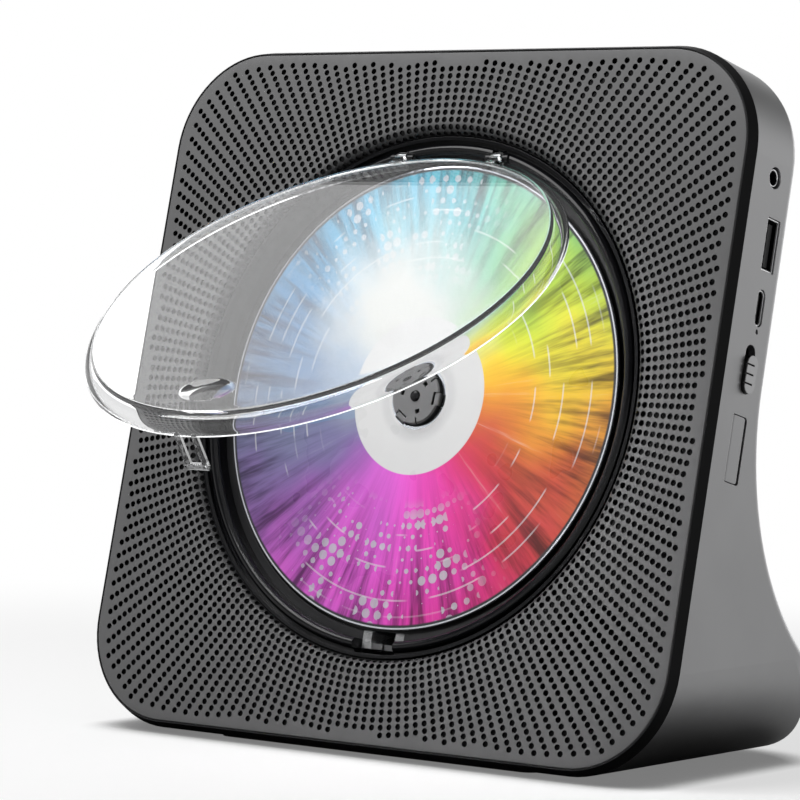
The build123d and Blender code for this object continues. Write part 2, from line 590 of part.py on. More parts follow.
def lid_hinge_pins():
    """Two short steel pins, each through one ear of the lid."""
    length = EAR_W / 2 + GAP + CHEEK_W
    keep("lid_hinge_pins", *[rod_x(PIN_R, side * EAR_X - length, side * EAR_X + length, HINGE_Y, HINGE_Z)
                             for side in SIDES])


def disc_well():
    """Dish behind the disc, with its flange, lens slot and damper pins."""
    outer, flange_back = WELL_R + WELL_WALL, BAFFLE_BACK + WELL_RIM
    well = turned([(TABLE_HOLE, WELL_FLOOR), (WELL_R, WELL_FLOOR), (WELL_R, BAFFLE_BACK),
                   (WELL_FLANGE, BAFFLE_BACK), (WELL_FLANGE, flange_back), (outer, flange_back),
                   (outer, WELL_BACK), (TABLE_HOLE, WELL_BACK)])
    well -= block(0, WELL_R, -LENS_SLOT / 2, LENS_SLOT / 2, WELL_FLOOR - FIT, WELL_BACK + 1)
    for x, y in tab_spots():
        well += disc(TAB_R, BAFFLE_BACK, flange_back, x, y) - disc(RING_R, 0, flange_back + 1)
        well -= disc(TAB_SCREW[0] + FIT, BAFFLE_BACK - 1, flange_back + 1, x, y)
    for x, y in DAMPER_XY:
        well += disc(DAMPER_NECK + GAP, WELL_BACK, DAMPER_TOP, x, y)
        well += disc(DAMPER_PIN, DAMPER_TOP, DAMPER_END + GAP, x, y)
    keep("disc_well", well - latch_room(-1, WELL_BACK + 1))


def latch_parts():
    """Latch box behind the well, its two clear guides and the sprung catch between them."""
    half = LATCH_W / 2 + LATCH_WALL
    low, high = -LATCH_OUT - LATCH_WALL, -LATCH_IN + LATCH_WALL
    box = block(-half, half, low, high, WELL_BACK, LATCH_DEEP + LATCH_WALL)
    box += block(-half, half, low, -WELL_R - WELL_WALL - GAP, BAFFLE_BACK + WELL_RIM, WELL_BACK)
    keep("latch_housing", box - latch_room(-1, LATCH_DEEP))
    guides = []
    for side in SIDES:
        beside_catch, beside_hook = side * (SHUTTLE_W / 2 + FIT), side * (HOOK_W / 2 + GAP)
        wall = side * LATCH_W / 2
        guide = block(beside_catch, wall, -LATCH_OUT, -HOOK_PATH, LATCH_FRONT, LATCH_DEEP)
        guide += block(beside_hook, wall, -HOOK_PATH, -LATCH_IN - GAP, LID_BOTTOM + GAP, LATCH_DEEP)
        guides.append(guide)
    keep("latch_guides", *guides)
    keep("latch_shuttle", latch_catch())


def latch_catch():
    """Sprung catch: a stepped front and a notch down its inner side for the hook's barb."""
    catch_in, catch_out, half = -HOOK_PATH, -LATCH_OUT + FIT, SHUTTLE_W / 2
    step = 0.9
    catch = block(-half, half, catch_out, catch_in, SHUTTLE_TOP + step, SHUTTLE_TOP + SHUTTLE_LONG)
    catch += block(-half, 0, catch_out, catch_in, SHUTTLE_TOP, SHUTTLE_TOP + step)
    notch_half, notch_deep, notch_end = 1.2, 0.8, 1.5
    return catch - block(-notch_half, notch_half, catch_in - notch_deep, catch_in + 1,
                         SHUTTLE_TOP + 2 * notch_end, SHUTTLE_TOP + SHUTTLE_LONG - notch_end)


# ---- lid -------------------------------------------------------------------------------------------
def dimple():
    """Cutter for an oval hollow, curved along both of its axes."""
    deep = DIMPLE_DEEP
    long_r = (DIMPLE_LONG ** 2 + deep ** 2) / (2 * deep)
    short_r = (DIMPLE_SHORT ** 2 + deep ** 2) / (2 * deep)
    reach = DIMPLE_LONG + 1
    end = short_r - long_r + sqrt(long_r ** 2 - reach ** 2)
    sides = Polyline((-reach, end), (-reach, 0), (reach, 0), (reach, end))
    barrel = make_face(sides + ThreePointArc((reach, end), (0, short_r), (-reach, end)))
    return Pos(0, 0, short_r - deep) * revolve(barrel, Axis.X)


def dust_cover():
    """Flat round window of the lid, with the thumb dimple near its free end."""
    window = disc(LID_TOP_R - SKIRT_WALL, LID_TOP, LID_TOP + LID_WALL)
    dent = Pos(0, DIMPLE_STEP - LID_TOP_R, -LID_TOP) * dimple()
    keep("dust_cover", opened(window - dent))


def skirt_ring():
    """Rounded shoulder and bellied skirt round the window."""
    top, bottom, wall = -LID_TOP, -LID_BOTTOM, SKIRT_WALL
    shoulder, drop, belly_out, belly_up = 1.0, 0.3, 0.55, 0.3
    belly = (LID_TOP_R + LID_R) / 2 + belly_out, (top + bottom) / 2 + belly_up
    crown = Line((LID_TOP_R - wall, top), (LID_TOP_R - shoulder, top))
    bend = ThreePointArc((LID_TOP_R - shoulder, top), (LID_TOP_R - drop, top - drop),
                         (LID_TOP_R, top - shoulder))
    skirt = ThreePointArc((LID_TOP_R, top - shoulder), belly, (LID_R, bottom))
    hem = Line((LID_R, bottom), (LID_R - wall, bottom))
    inside = ThreePointArc((LID_R - wall, bottom), (belly[0] - wall, belly[1]),
                           (LID_TOP_R - wall, top - LID_WALL))
    seam = Line((LID_TOP_R - wall, top - LID_WALL), (LID_TOP_R - wall, top))
    return revolve(Plane.XZ * make_face(crown + bend + skirt + hem + inside + seam), Axis.Z)


def hinge_ear(x):
    """Lug that carries one hinge pin, webbed back to the skirt."""
    root, top_root = 4.4, 3.1
    web = Polyline((HINGE_Y, -HINGE_Z + EAR_R), (HINGE_Y - root, -HINGE_Z + EAR_R - GAP),
                   (HINGE_Y - top_root, -HINGE_Z - EAR_R), (HINGE_Y, -HINGE_Z - EAR_R), close=True)
    ear = Pos(x, 0, 0) * extrude(Plane.YZ * make_face(web), EAR_W / 2, both=True)
    ear += rod_x(EAR_R, x - EAR_W / 2, x + EAR_W / 2, HINGE_Y, HINGE_Z)
    return ear - rod_x(PIN_R + RUNNING, x - EAR_W, x + EAR_W, HINGE_Y, HINGE_Z)


def lid_skirt():
    """Skirt with its two hinge ears, and a notch between them over the ring."""
    notch = EAR_X - EAR_W / 2
    skirt = skirt_ring() - block(-notch, notch, 0, HALF, LID_BOTTOM - WALL, LID_BOTTOM + 1)
    skirt += hinge_ear(EAR_X)
    skirt += hinge_ear(-EAR_X)
    keep("lid_skirt", opened(skirt))


def lid_hook():
    """U-shaped snap hook under the lid's free end, with a barb on its outer side."""
    outer, tip = HOOK_IN - LID_R, LID_BOTTOM + HOOK_LONG
    inner = outer + HOOK_THICK
    hook = block(-HOOK_W / 2, HOOK_W / 2, outer, inner, LID_BOTTOM, tip)
    window = HOOK_W / 2 - HOOK_ARM
    hook -= block(-window, window, outer - 1, inner + 1, LID_BOTTOM + HOOK_ARM, tip - HOOK_ARM)
    barb = Polyline((outer, -tip + HOOK_ARM), (outer - HOOK_BARB, -tip + HOOK_ARM), (outer, -tip), close=True)
    keep("lid_hook", opened(hook + extrude(Plane.YZ * make_face(barb), HOOK_W / 2, both=True)))


# ---- hub and disc ------------------------------------------------------------------------------------
def compact_disc():
    """Standard 120 mm disc."""
    keep("compact_disc", disc(DISC_R, DISC_TOP, DISC_BACK) - disc(DISC_HOLE, 0, DISC_BACK + 1))


def pawl_turns():
    """Directions of the three pawls."""
    return [PAWL_TURN + 120 * i for i in range(3)]


def spindle_hub():
    """Turntable and centring boss, with pockets for the pawls."""
    hub = disc(TABLE_R, DISC_BACK, DISC_BACK + TABLE_THICK)
    boss = disc(HUB_R, HUB_TOP, DISC_BACK)
    hub += chamfer(boss.edges().group_by(Axis.Z)[-1], 0.35)
    hub += disc(HUB_SLEEVE_R, DISC_BACK + TABLE_THICK, PLATE_BACK - GAP)
    hub -= disc(SHAFT_R + SEAT, 0, PLATE_BACK)
    hole, slit = 54, 46         # degrees from a pawl to the sink hole and to the slit beside it
    for turn in pawl_turns():
        hub -= Rot(0, 0, turn) * block(PAWL_IN - PAWL_TRAVEL - RUNNING, HUB_R + 1, -PAWL_W / 2 - FIT,
                                       PAWL_W / 2 + FIT, 0, DISC_BACK)
        hub -= Rot(0, 0, turn + hole) * block(3.6, 4.7, -0.65, 0.65, 0, HUB_TOP + 1.2)
        hub -= Rot(0, 0, turn + slit) * block(HUB_R - 1.6, HUB_R + 1, -0.2, 0.2, 0, HUB_TOP + 1.6)
    keep("spindle_hub", hub)


def hub_pawls():
    """Three sprung noses that hold the disc down by the edge of its hole."""
    foot, stem, nose = DISC_BACK - FIT, DISC_HOLE - 0.4, DISC_HOLE + PAWL_BITE
    under, over = DISC_TOP - 2 * GAP, DISC_TOP - 3 * GAP
    outline = Polyline((PAWL_IN, -foot), (stem, -foot), (stem, GAP - DISC_TOP), (nose, -under),
                       (nose, -over), (stem, -HUB_TOP - GAP), (PAWL_IN, -HUB_TOP - GAP), close=True)
    pawl = extrude(Plane.XZ * make_face(outline), PAWL_W / 2, both=True)
    for i, turn in enumerate(pawl_turns()):
        keep(f"hub_pawl_{i + 1}", Rot(0, 0, turn) * pawl)


def spindle_shaft():
    """Motor shaft with its domed end, proud of the hub."""
    dome = [(r * SHAFT_HEAD, HUB_TOP - SHAFT_DOME * sqrt(1 - r * r)) for r in (0, 0.5, 0.8, 1)]
    head = turned(dome + [(0, HUB_TOP)])
    keep("spindle_shaft", head + disc(SHAFT_R, HUB_TOP, PLATE_BACK + MOTOR_DEEP - 1))


def spindle_motor():
    """Flat disc motor under the chassis plate."""
    can = disc(MOTOR_R, PLATE_BACK, PLATE_BACK + MOTOR_DEEP)
    can = chamfer(can.edges().group_by(Axis.Z)[0], 0.6)
    keep("spindle_motor", can - disc(SHAFT_R + RUNNING, 0, PLATE_BACK + MOTOR_DEEP - 1 + FIT))


# ---- mechanism -------------------------------------------------------------------------------------
def rod_lug(x, y, depth, bore):
    """Lug bent down from the chassis plate, bored for a rod."""
    lug = block(x, x + LUG, y - LUG_SIDE, y + LUG_SIDE, PLATE_BACK, depth + LUG_SIDE)
    return lug - rod_x(bore, x - 1, x + LUG + 1, y, depth)


def mech_chassis():
    """Steel plate that carries the motors, the rods and the sled."""
    edge = DAMPER_R + 2
    x0, x1 = DAMPER_XY[0][0] - edge, ROD_END + LUG / 2
    y0, y1 = DAMPER_XY[2][1] - edge, DAMPER_XY[0][1] + edge
    outline = Pos((x0 + x1) / 2, (y0 + y1) / 2) * RectangleRounded(x1 - x0, y1 - y0, edge - 1)
    plate = extrude(at_depth(PLATE_BACK) * outline, PLATE)
    plate -= block(ROD_START + LUG + FIT, ROD_END - LUG - FIT, -SLED_SLOT / 2, SLED_SLOT / 2,
                   PLATE_TOP - 1, PLATE_BACK + 1)
    plate -= disc(HUB_SLEEVE_R + 1, PLATE_TOP - 1, PLATE_BACK + 1)
    for x, y in DAMPER_XY:
        plate -= disc(DAMPER_NECK + RUNNING, PLATE_TOP - 1, PLATE_BACK + 1, x, y)
    for x in (ROD_START, ROD_END - LUG):
        for side in SIDES:
            plate += rod_lug(x, side * ROD_Y, ROD_Z, ROD_R + SEAT)
        plate += rod_lug(x, SCREW_Y, SCREW_Z, SCREW_R + RUNNING)
    keep("mech_chassis", plate)


def damper_grommets():
    """Rubber spools between the chassis plate and the well's pins."""
    bore = DAMPER_PIN + RUNNING
    spool = turned([(bore, DAMPER_TOP), (DAMPER_R, DAMPER_TOP), (DAMPER_R, PLATE_TOP),
                    (DAMPER_NECK, PLATE_TOP), (DAMPER_NECK, PLATE_BACK), (DAMPER_R, PLATE_BACK),
                    (DAMPER_R, DAMPER_END), (bore, DAMPER_END)])
    keep("damper_grommets", *[Pos(x, y, 0) * spool for x, y in DAMPER_XY])


def inner_screws():
    """Washer-head screws at the dampers and small screws in the flange's tabs."""
    washer, washer_thick = DAMPER_WASHER
    end = DAMPER_END + GAP
    screws = [disc(washer, end, end + washer_thick, x, y) for x, y in DAMPER_XY]
    shaft, head, thick = TAB_SCREW
    under = BAFFLE_BACK + WELL_RIM
    for x, y in tab_spots():
        screws.append(disc(shaft, BAFFLE_TOP + SCREW_TIP, under, x, y) + disc(head, under, under + thick, x, y))
    keep("inner_screws", *screws)


def laser_sled():
    """Sled on its two rods, with the tower that carries the lens."""
    low, high = LENS_START - SLED_LONG / 2, LENS_START + SLED_LONG / 2
    inner, outer, back = SLED_SLOT / 2 - FIT, ROD_Y + ROD_R + 1.2, ROD_Z + SLED_THICK
    sled = block(low, high, -inner, inner, PLATE_TOP - FIT, back)
    sled += block(low, high, -outer, outer, PLATE_BACK + FIT, back)
    arm = 2.0
    sled += block(low + arm, high - arm, SCREW_Y - arm, -outer, ROD_Z, SCREW_Z + arm)
    tower = LENS_TOWER / 2
    sled += block(LENS_START - tower, LENS_START + tower, -tower, tower, WELL_FLOOR + LENS_GAP, PLATE_TOP)
    for side in SIDES:
        sled -= rod_x(ROD_R + RUNNING, low - 1, high + 1, side * ROD_Y, ROD_Z)
    keep("laser_sled", sled - rod_x(SCREW_R + RUNNING, low - 1, high + 1, SCREW_Y, SCREW_Z))


def sled_drive():
    """Lens, rods, lead screw and its motor."""
    top = WELL_FLOOR + LENS_GAP
    lens_r, lens_high = 2.3, 0.8
    dome = [(r * lens_r, top - lens_high * sqrt(1 - r * r)) for r in (0, 0.5, 0.85, 1)]
    keep("laser_lens", Pos(LENS_START, 0, 0) * turned(dome + [(0, top)]))
    keep("guide_rods", *[rod_x(ROD_R, ROD_START, ROD_END, side * ROD_Y, ROD_Z) for side in SIDES])
    keep("lead_screw", rod_x(SCREW_R, ROD_START + FIT, ROD_END, SCREW_Y, SCREW_Z))
    keep("sled_motor", rod_x(SLED_MOTOR_R, ROD_START - SLED_MOTOR_LONG, ROD_START, SCREW_Y, SCREW_Z))


# ---- speakers ----------------------------------------------------------------------------------------
def speakers():
    """Two drivers behind the lower corners of the grille."""
    face, floor = BAFFLE_BACK, BAFFLE_BACK + BASKET_DEEP
    rim, steel, bore = face + BASKET_RIM, 1.0, 4.0
    seat = CONE_R + 2 * FIT
    basket = turned([(seat, face), (SPEAKER_R, face), (SPEAKER_R, rim), (MAGNET_R, floor), (bore, floor),
                     (bore, floor - steel), (MAGNET_R - steel, floor - steel), (seat, rim)])
    edge, roll_in, roll_out, coil = CONE_R - FIT, 0.86 * CONE_R, 0.93 * CONE_R, 0.31 * CONE_R
    cone = turned([(0, face + 3.4), (coil, face + 5), (roll_in, face + 0.9), (roll_out, face + 0.3),
                   (edge, face + 0.9), (edge, rim), (roll_out, rim), (coil, face + 6), (0, face + 6)])
    magnet = disc(MAGNET_R, floor, floor + MAGNET_DEEP)
    spots = [Pos(side * SPEAKER_XY, -SPEAKER_XY, 0) for side in SIDES]
    keep("speaker_baskets", *[spot * basket for spot in spots])
    keep("speaker_cones", *[spot * cone for spot in spots])
    keep("speaker_magnets", *[spot * magnet for spot in spots])


# ---- side ports ----------------------------------------------------------------------------------------
def port_board():
    """Circuit board behind the ports."""
    keep("port_board", block(PORT_BOARD_IN, PORT_BOARD_OUT, PORT_BOARD_LOW, PORT_BOARD_HIGH,
                             PORT_BOARD_Z, PORT_BOARD_Z + BOARD))


def headphone_jack():
    """3.5 mm socket, its sleeve through the wall."""
    face, wall = HALF - JACK_SUNK, HALF - WALL - 2 * FIT
    inner, half, skin = face - JACK_LONG, 3.2, 0.8
    jack = block(inner - skin, wall, JACK_Y - half, JACK_Y + half, JACK_Z - half, PORT_BOARD_Z)
    jack += rod_x(JACK_SLEEVE, wall, face, JACK_Y, JACK_Z)
    keep("headphone_jack", jack - rod_x(JACK_BORE, inner, HALF + 1, JACK_Y, JACK_Z))


def usb_a_port():
    """USB-A receptacle: folded shell and the tongue that carries its contacts."""
    inner, face = HALF - 14.5, HALF - USB_SUNK
    half_w, half_h = USB_A_W / 2, USB_A_H / 2
    mouth_w, mouth_h = half_w - USB_SHELL, half_h - USB_SHELL
    back, side_room, tongue_top, tongue_low = 1.5, 0.8, 0.3, 1.6
    port = block(inner, face, USB_A_Y - half_w, USB_A_Y + half_w, USB_A_Z - half_h, USB_A_Z + half_h)
    port -= block(inner + back, face + 1, USB_A_Y - mouth_w, USB_A_Y + mouth_w,
                  USB_A_Z - mouth_h, USB_A_Z + mouth_h)
    tongue_w = mouth_w - side_room
    port += block(inner + 1, face - 1, USB_A_Y - tongue_w, USB_A_Y + tongue_w,
                  USB_A_Z - tongue_top, USB_A_Z + tongue_low)
    keep("usb_a_port", port)


def usb_c_port():
    """USB-C receptacle: drawn shell, its tongue and the legs that stand it on the board."""
    inner, face = HALF - 9, HALF - USB_SUNK
    plane = Plane.YZ.offset(inner) * Pos(USB_C_Y, -USB_C_Z)
    half_h = USB_C_H / 2
    port = extrude(plane * RectangleRounded(USB_C_W, USB_C_H, half_h - FIT / 2), face - inner)
    mouth = RectangleRounded(USB_C_W - 2 * USB_SHELL, USB_C_H - 2 * USB_SHELL, half_h - USB_SHELL - FIT / 2)
    back, tongue_w, tongue_h, leg_w = 1.5, 3.3, 0.35, 4.0
    port -= Pos(back, 0, 0) * extrude(plane * mouth, face)
    port += block(inner, face - 2 * USB_SHELL, USB_C_Y - tongue_w, USB_C_Y + tongue_w,
                  USB_C_Z - tongue_h, USB_C_Z + tongue_h)
    port += block(inner, HALF - WALL - 0.5, USB_C_Y - leg_w, USB_C_Y + leg_w,
                  USB_C_Z + half_h - 0.2, PORT_BOARD_Z)
    keep("usb_c_port", port)


def status_light():
    """Light pipe behind the pinhole."""
    pipe = rod_x(LED_R, HALF - 7, HALF - 2 * USB_SUNK, LED_Y, LED_Z)
    half = 1.2
    lamp = block(HALF - 9, HALF - 6, LED_Y - half, LED_Y + half, LED_Z - half, PORT_BOARD_Z)
    keep("status_light", pipe + lamp)


def power_switch():
    """Slide switch: body on the board, ribbed knob in the side slot."""
    face = HALF - WALL - GAP
    inner, half, stem = face - 9.2, 7.0, KNOB_STEM / 2
    body = block(inner, face, SWITCH_Y - half, SWITCH_Y + half, SWITCH_Z - 3, PORT_BOARD_Z)
    room = stem + SWITCH_TRAVEL / 2 + 2 * FIT
    body -= block(face - 3.4, face + 1, SWITCH_Y - room, SWITCH_Y + room, SWITCH_Z - 1.6, SWITCH_Z + 1.6)
    keep("power_switch_body", body)
    y = SWITCH_Y - SWITCH_TRAVEL / 2
    high, top = SWITCH_H - 2 * FIT, HALF + KNOB_PROUD - RIDGE_R
    outline = Plane.YZ.offset(face + GAP) * Pos(y, -SWITCH_Z) * RectangleRounded(KNOB_LONG, high, SWITCH_CORNER)
    knob = extrude(outline, top - face - GAP)
    knob += block(face - 3, face + 1, y - stem, y + stem, SWITCH_Z - 1.4, SWITCH_Z + 1.4)
    for i in range(KNOB_RIDGES):
        knob += Pos(top, y + (i - (KNOB_RIDGES - 1) / 2) * RIDGE_PITCH, -SWITCH_Z) * Cylinder(RIDGE_R, high)
    keep("power_switch_knob", knob)


def card_parts():
    """Memory-card socket and the flap that covers it."""
    face, half, back = HALF - WALL - 0.4, 7.0, 2.0
    socket = block(HALF - 16, face, CARD_Y - half, CARD_Y + half, CARD_Z - 1.4, PORT_BOARD_Z)
    slot = block(HALF - 16 + back, face + 1, CARD_Y - CARD_W / 2, CARD_Y + CARD_W / 2,
                 CARD_Z - CARD_SLOT / 2, CARD_Z + CARD_SLOT / 2)
    keep("card_socket", socket - slot)
    axis_x = HALF - FLAP_THICK / 2
    flap = block(HALF - FLAP_THICK, HALF, FLAP_LOW, FLAP_TOP, FLAP_HINGE_Z, FLAP_END_Z)
    flap = fillet(free_edges(flap), FLAP_CORNER)
    flap += rod_y(FLAP_THICK / 2, FLAP_LOW, FLAP_TOP, axis_x, FLAP_HINGE_Z)
    flap += rod_y(FLAP_PIN, FLAP_LOW - FLAP_PIN_OUT, FLAP_TOP + FLAP_PIN_OUT, axis_x, FLAP_HINGE_Z)
    keep("card_flap", flap)


# ---- top buttons -----------------------------------------------------------------------------------
def buttons():
    """Sprung buttons over a small board of tact switches."""
    ceiling = HALF - WALL
    low = ceiling - BUTTON_TRAVEL / 2 - 1
    stem_end = TACT_TOP + BUTTON_TRAVEL + RUNNING
    side = BUTTON_STEM / 2
    for i, x in enumerate(button_x()):
        cap = rod_y(BUTTON_R, low, HALF + BUTTON_PROUD, x, BUTTON_Z)
        cap = chamfer(cap.edges().group_by(Axis.Y)[-1], 0.3)
        cap += rod_y(BUTTON_R + BUTTON_FLANGE, low, ceiling - 2 * FIT, x, BUTTON_Z)
        cap += block(x - side, x + side, stem_end, low + RUNNING, BUTTON_Z - side, BUTTON_Z + side)
        keep(f"top_button_{i + 1}", cap)


def button_board():
    """Board under the top buttons, with a tact switch for each."""
    wide = BUTTON_BOARD_WIDE / 2
    keep("button_board", block(-BUTTON_BOARD_END, BUTTON_BOARD_END, BUTTON_BOARD_Y - BOARD, BUTTON_BOARD_Y,
                               BUTTON_Z - wide, BUTTON_Z + wide))
    half, plunger, plunger_high = TACT / 2, TACT_PLUNGER[0] / 2, TACT_PLUNGER[1]
    body_top = TACT_TOP - plunger_high
    tacts = []
    for x in button_x():
        tact = block(x - half, x + half, BUTTON_BOARD_Y, body_top, BUTTON_Z - half, BUTTON_Z + half)
        tact += block(x - plunger, x + plunger, body_top, TACT_TOP, BUTTON_Z - plunger, BUTTON_Z + plunger)
        tacts.append(tact)
    keep("tact_switches", *tacts)


# ---- electronics in the foot -------------------------------------------------------------------------
def main_board():
    """Amplifier and decoder board on its posts, with its larger components."""
    board = floor_plane(MAIN_BOARD_BACK, MAIN_BOARD_LIFT + BOARD / 2)
    keep("main_board", board * Box(MAIN_BOARD_LONG, MAIN_BOARD_WIDE, BOARD))
    above = floor_plane(MAIN_BOARD_BACK, MAIN_BOARD_LIFT + BOARD)
    parts = [above * Pos(x, y, high / 2) * Box(side, side, high) for x, y, side, high in CHIPS]
    parts += [above * Pos(x, CAN_ROW, CAN_HIGH / 2) * Cylinder(CAN_R, CAN_HIGH) for x in CANS]
    keep("board_components", *parts)


def battery_cell():
    """Round lithium cell in its cradle."""
    cell = floor_plane(CELL_BACK, CELL_LIFT) * Rot(0, 90, 0) * Cylinder(CELL_R, CELL_LONG)
    keep("battery_cell", cell)


def build():
    """Make every node."""
    for make in (body_shell, feet, housing_screws, front_trim, speaker_grille, front_baffle, well_ring,
                 lid_hinge_pins, disc_well, latch_parts, dust_cover, lid_skirt, lid_hook, compact_disc,
                 spindle_hub, hub_pawls, spindle_shaft, spindle_motor, mech_chassis, damper_grommets,
                 inner_screws, laser_sled, sled_drive, speakers, port_board, headphone_jack, usb_a_port,
                 usb_c_port, status_light, power_switch, card_parts, buttons, button_board, main_board,
                 battery_cell):
        make()


os.makedirs("parts", exist_ok=True)
build()
for name, shape in PARTS.items():
    export_step(shape, f"parts/{name}.step")
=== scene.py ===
"""Looks of a desk-standing disc player: perforated front, swing-up clear lid, printed disc, flared housing.

Lengths inside the classes are millimetres in the face frame: X to the right, Y up the face, Z out of
the grille, with the origin at the grille's centre. FaceFrame turns them into metres in the row frame.
"""

import json
import logging
import math
from dataclasses import dataclass, field
from enum import Enum
from typing import Any, Callable, Sequence

import bmesh
import bpy
from mathutils import Matrix, Vector
from mathutils.geometry import delaunay_2d_cdt

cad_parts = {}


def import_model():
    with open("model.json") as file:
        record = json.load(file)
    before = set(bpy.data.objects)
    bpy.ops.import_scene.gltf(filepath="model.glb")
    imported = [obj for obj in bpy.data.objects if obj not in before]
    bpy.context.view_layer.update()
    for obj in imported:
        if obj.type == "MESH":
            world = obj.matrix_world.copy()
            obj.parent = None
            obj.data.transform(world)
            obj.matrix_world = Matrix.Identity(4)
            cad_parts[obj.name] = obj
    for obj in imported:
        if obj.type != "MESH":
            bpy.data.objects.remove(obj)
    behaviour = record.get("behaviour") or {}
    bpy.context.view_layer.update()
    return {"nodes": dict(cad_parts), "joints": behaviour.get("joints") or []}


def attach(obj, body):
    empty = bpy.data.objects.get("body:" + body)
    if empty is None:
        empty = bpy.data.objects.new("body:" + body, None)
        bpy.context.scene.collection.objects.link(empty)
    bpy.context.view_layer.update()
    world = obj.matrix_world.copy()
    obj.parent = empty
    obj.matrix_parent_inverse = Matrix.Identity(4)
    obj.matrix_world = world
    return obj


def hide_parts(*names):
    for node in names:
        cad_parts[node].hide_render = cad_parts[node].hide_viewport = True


LOG = logging.getLogger("player")
MM = 0.001
SPIN_DEPTH = 5.0        # depth of the spindle joint's point behind the grille
LID_ANGLE = 45.0        # how far the lid stands open at rest
CLOUDS = (0.3, 0.7)     # span of a noise texture's values that the finishes use
Point = tuple[float, float, float]
Colour = tuple[float, float, float]
WHITE: Colour = (1.0, 1.0, 1.0)
BLACK: Colour = (0.0, 0.0, 0.0)


class Body(Enum):
    """The bodies that new pieces ride on."""

    PLAYER = "player"
    LID = "lid"
    SPINDLE = "spindle"
    CATCH = "catch"
    FLAP = "flap"
    KNOB = "power_knob"


class Slot(Enum):
    """Material slots of the record, one named for each new piece."""

    GRILLE = "grille_grey"
    LID = "clear_plastic"
    DISC = "disc_print"
    SCREW = "black_steel"
    CONTACT = "plated_steel"
    HOUSING = "housing_grey"
    CATCH = "knob_grey"


# ---- frames ----------------------------------------------------------------------------------------------
@dataclass(frozen=True)
class FaceFrame:
    """Place of the face frame, in millimetres, within the row frame, in metres."""

    matrix: Matrix
    lid: Matrix

    @classmethod
    def from_joints(cls, joints: Sequence[dict[str, Any]]) -> "FaceFrame":
        """Find the face from the spindle's axis, and the open lid from its hinge.

        Args:
            joints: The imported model's joints.

        Returns:
            The frame of the grille, and that of the lid as it stands open.
        """
        named = {joint["name"]: joint for joint in joints}
        spin, hinge = named["spindle_spin"], named["lid_hinge"]
        out, right = Vector(spin["axis"]).normalized(), Vector((1, 0, 0))
        turn = Matrix((right, out.cross(right), out)).transposed().to_4x4()
        origin = Vector(spin["pos_m"]) + out * SPIN_DEPTH * MM
        matrix = Matrix.Translation(origin) @ turn @ Matrix.Scale(MM, 4)
        pivot = Matrix.Translation(matrix.inverted() @ Vector(hinge["pos_m"]))
        swing = pivot @ Matrix.Rotation(math.radians(-LID_ANGLE), 4, "X") @ pivot.inverted()
        return cls(matrix, matrix @ swing)


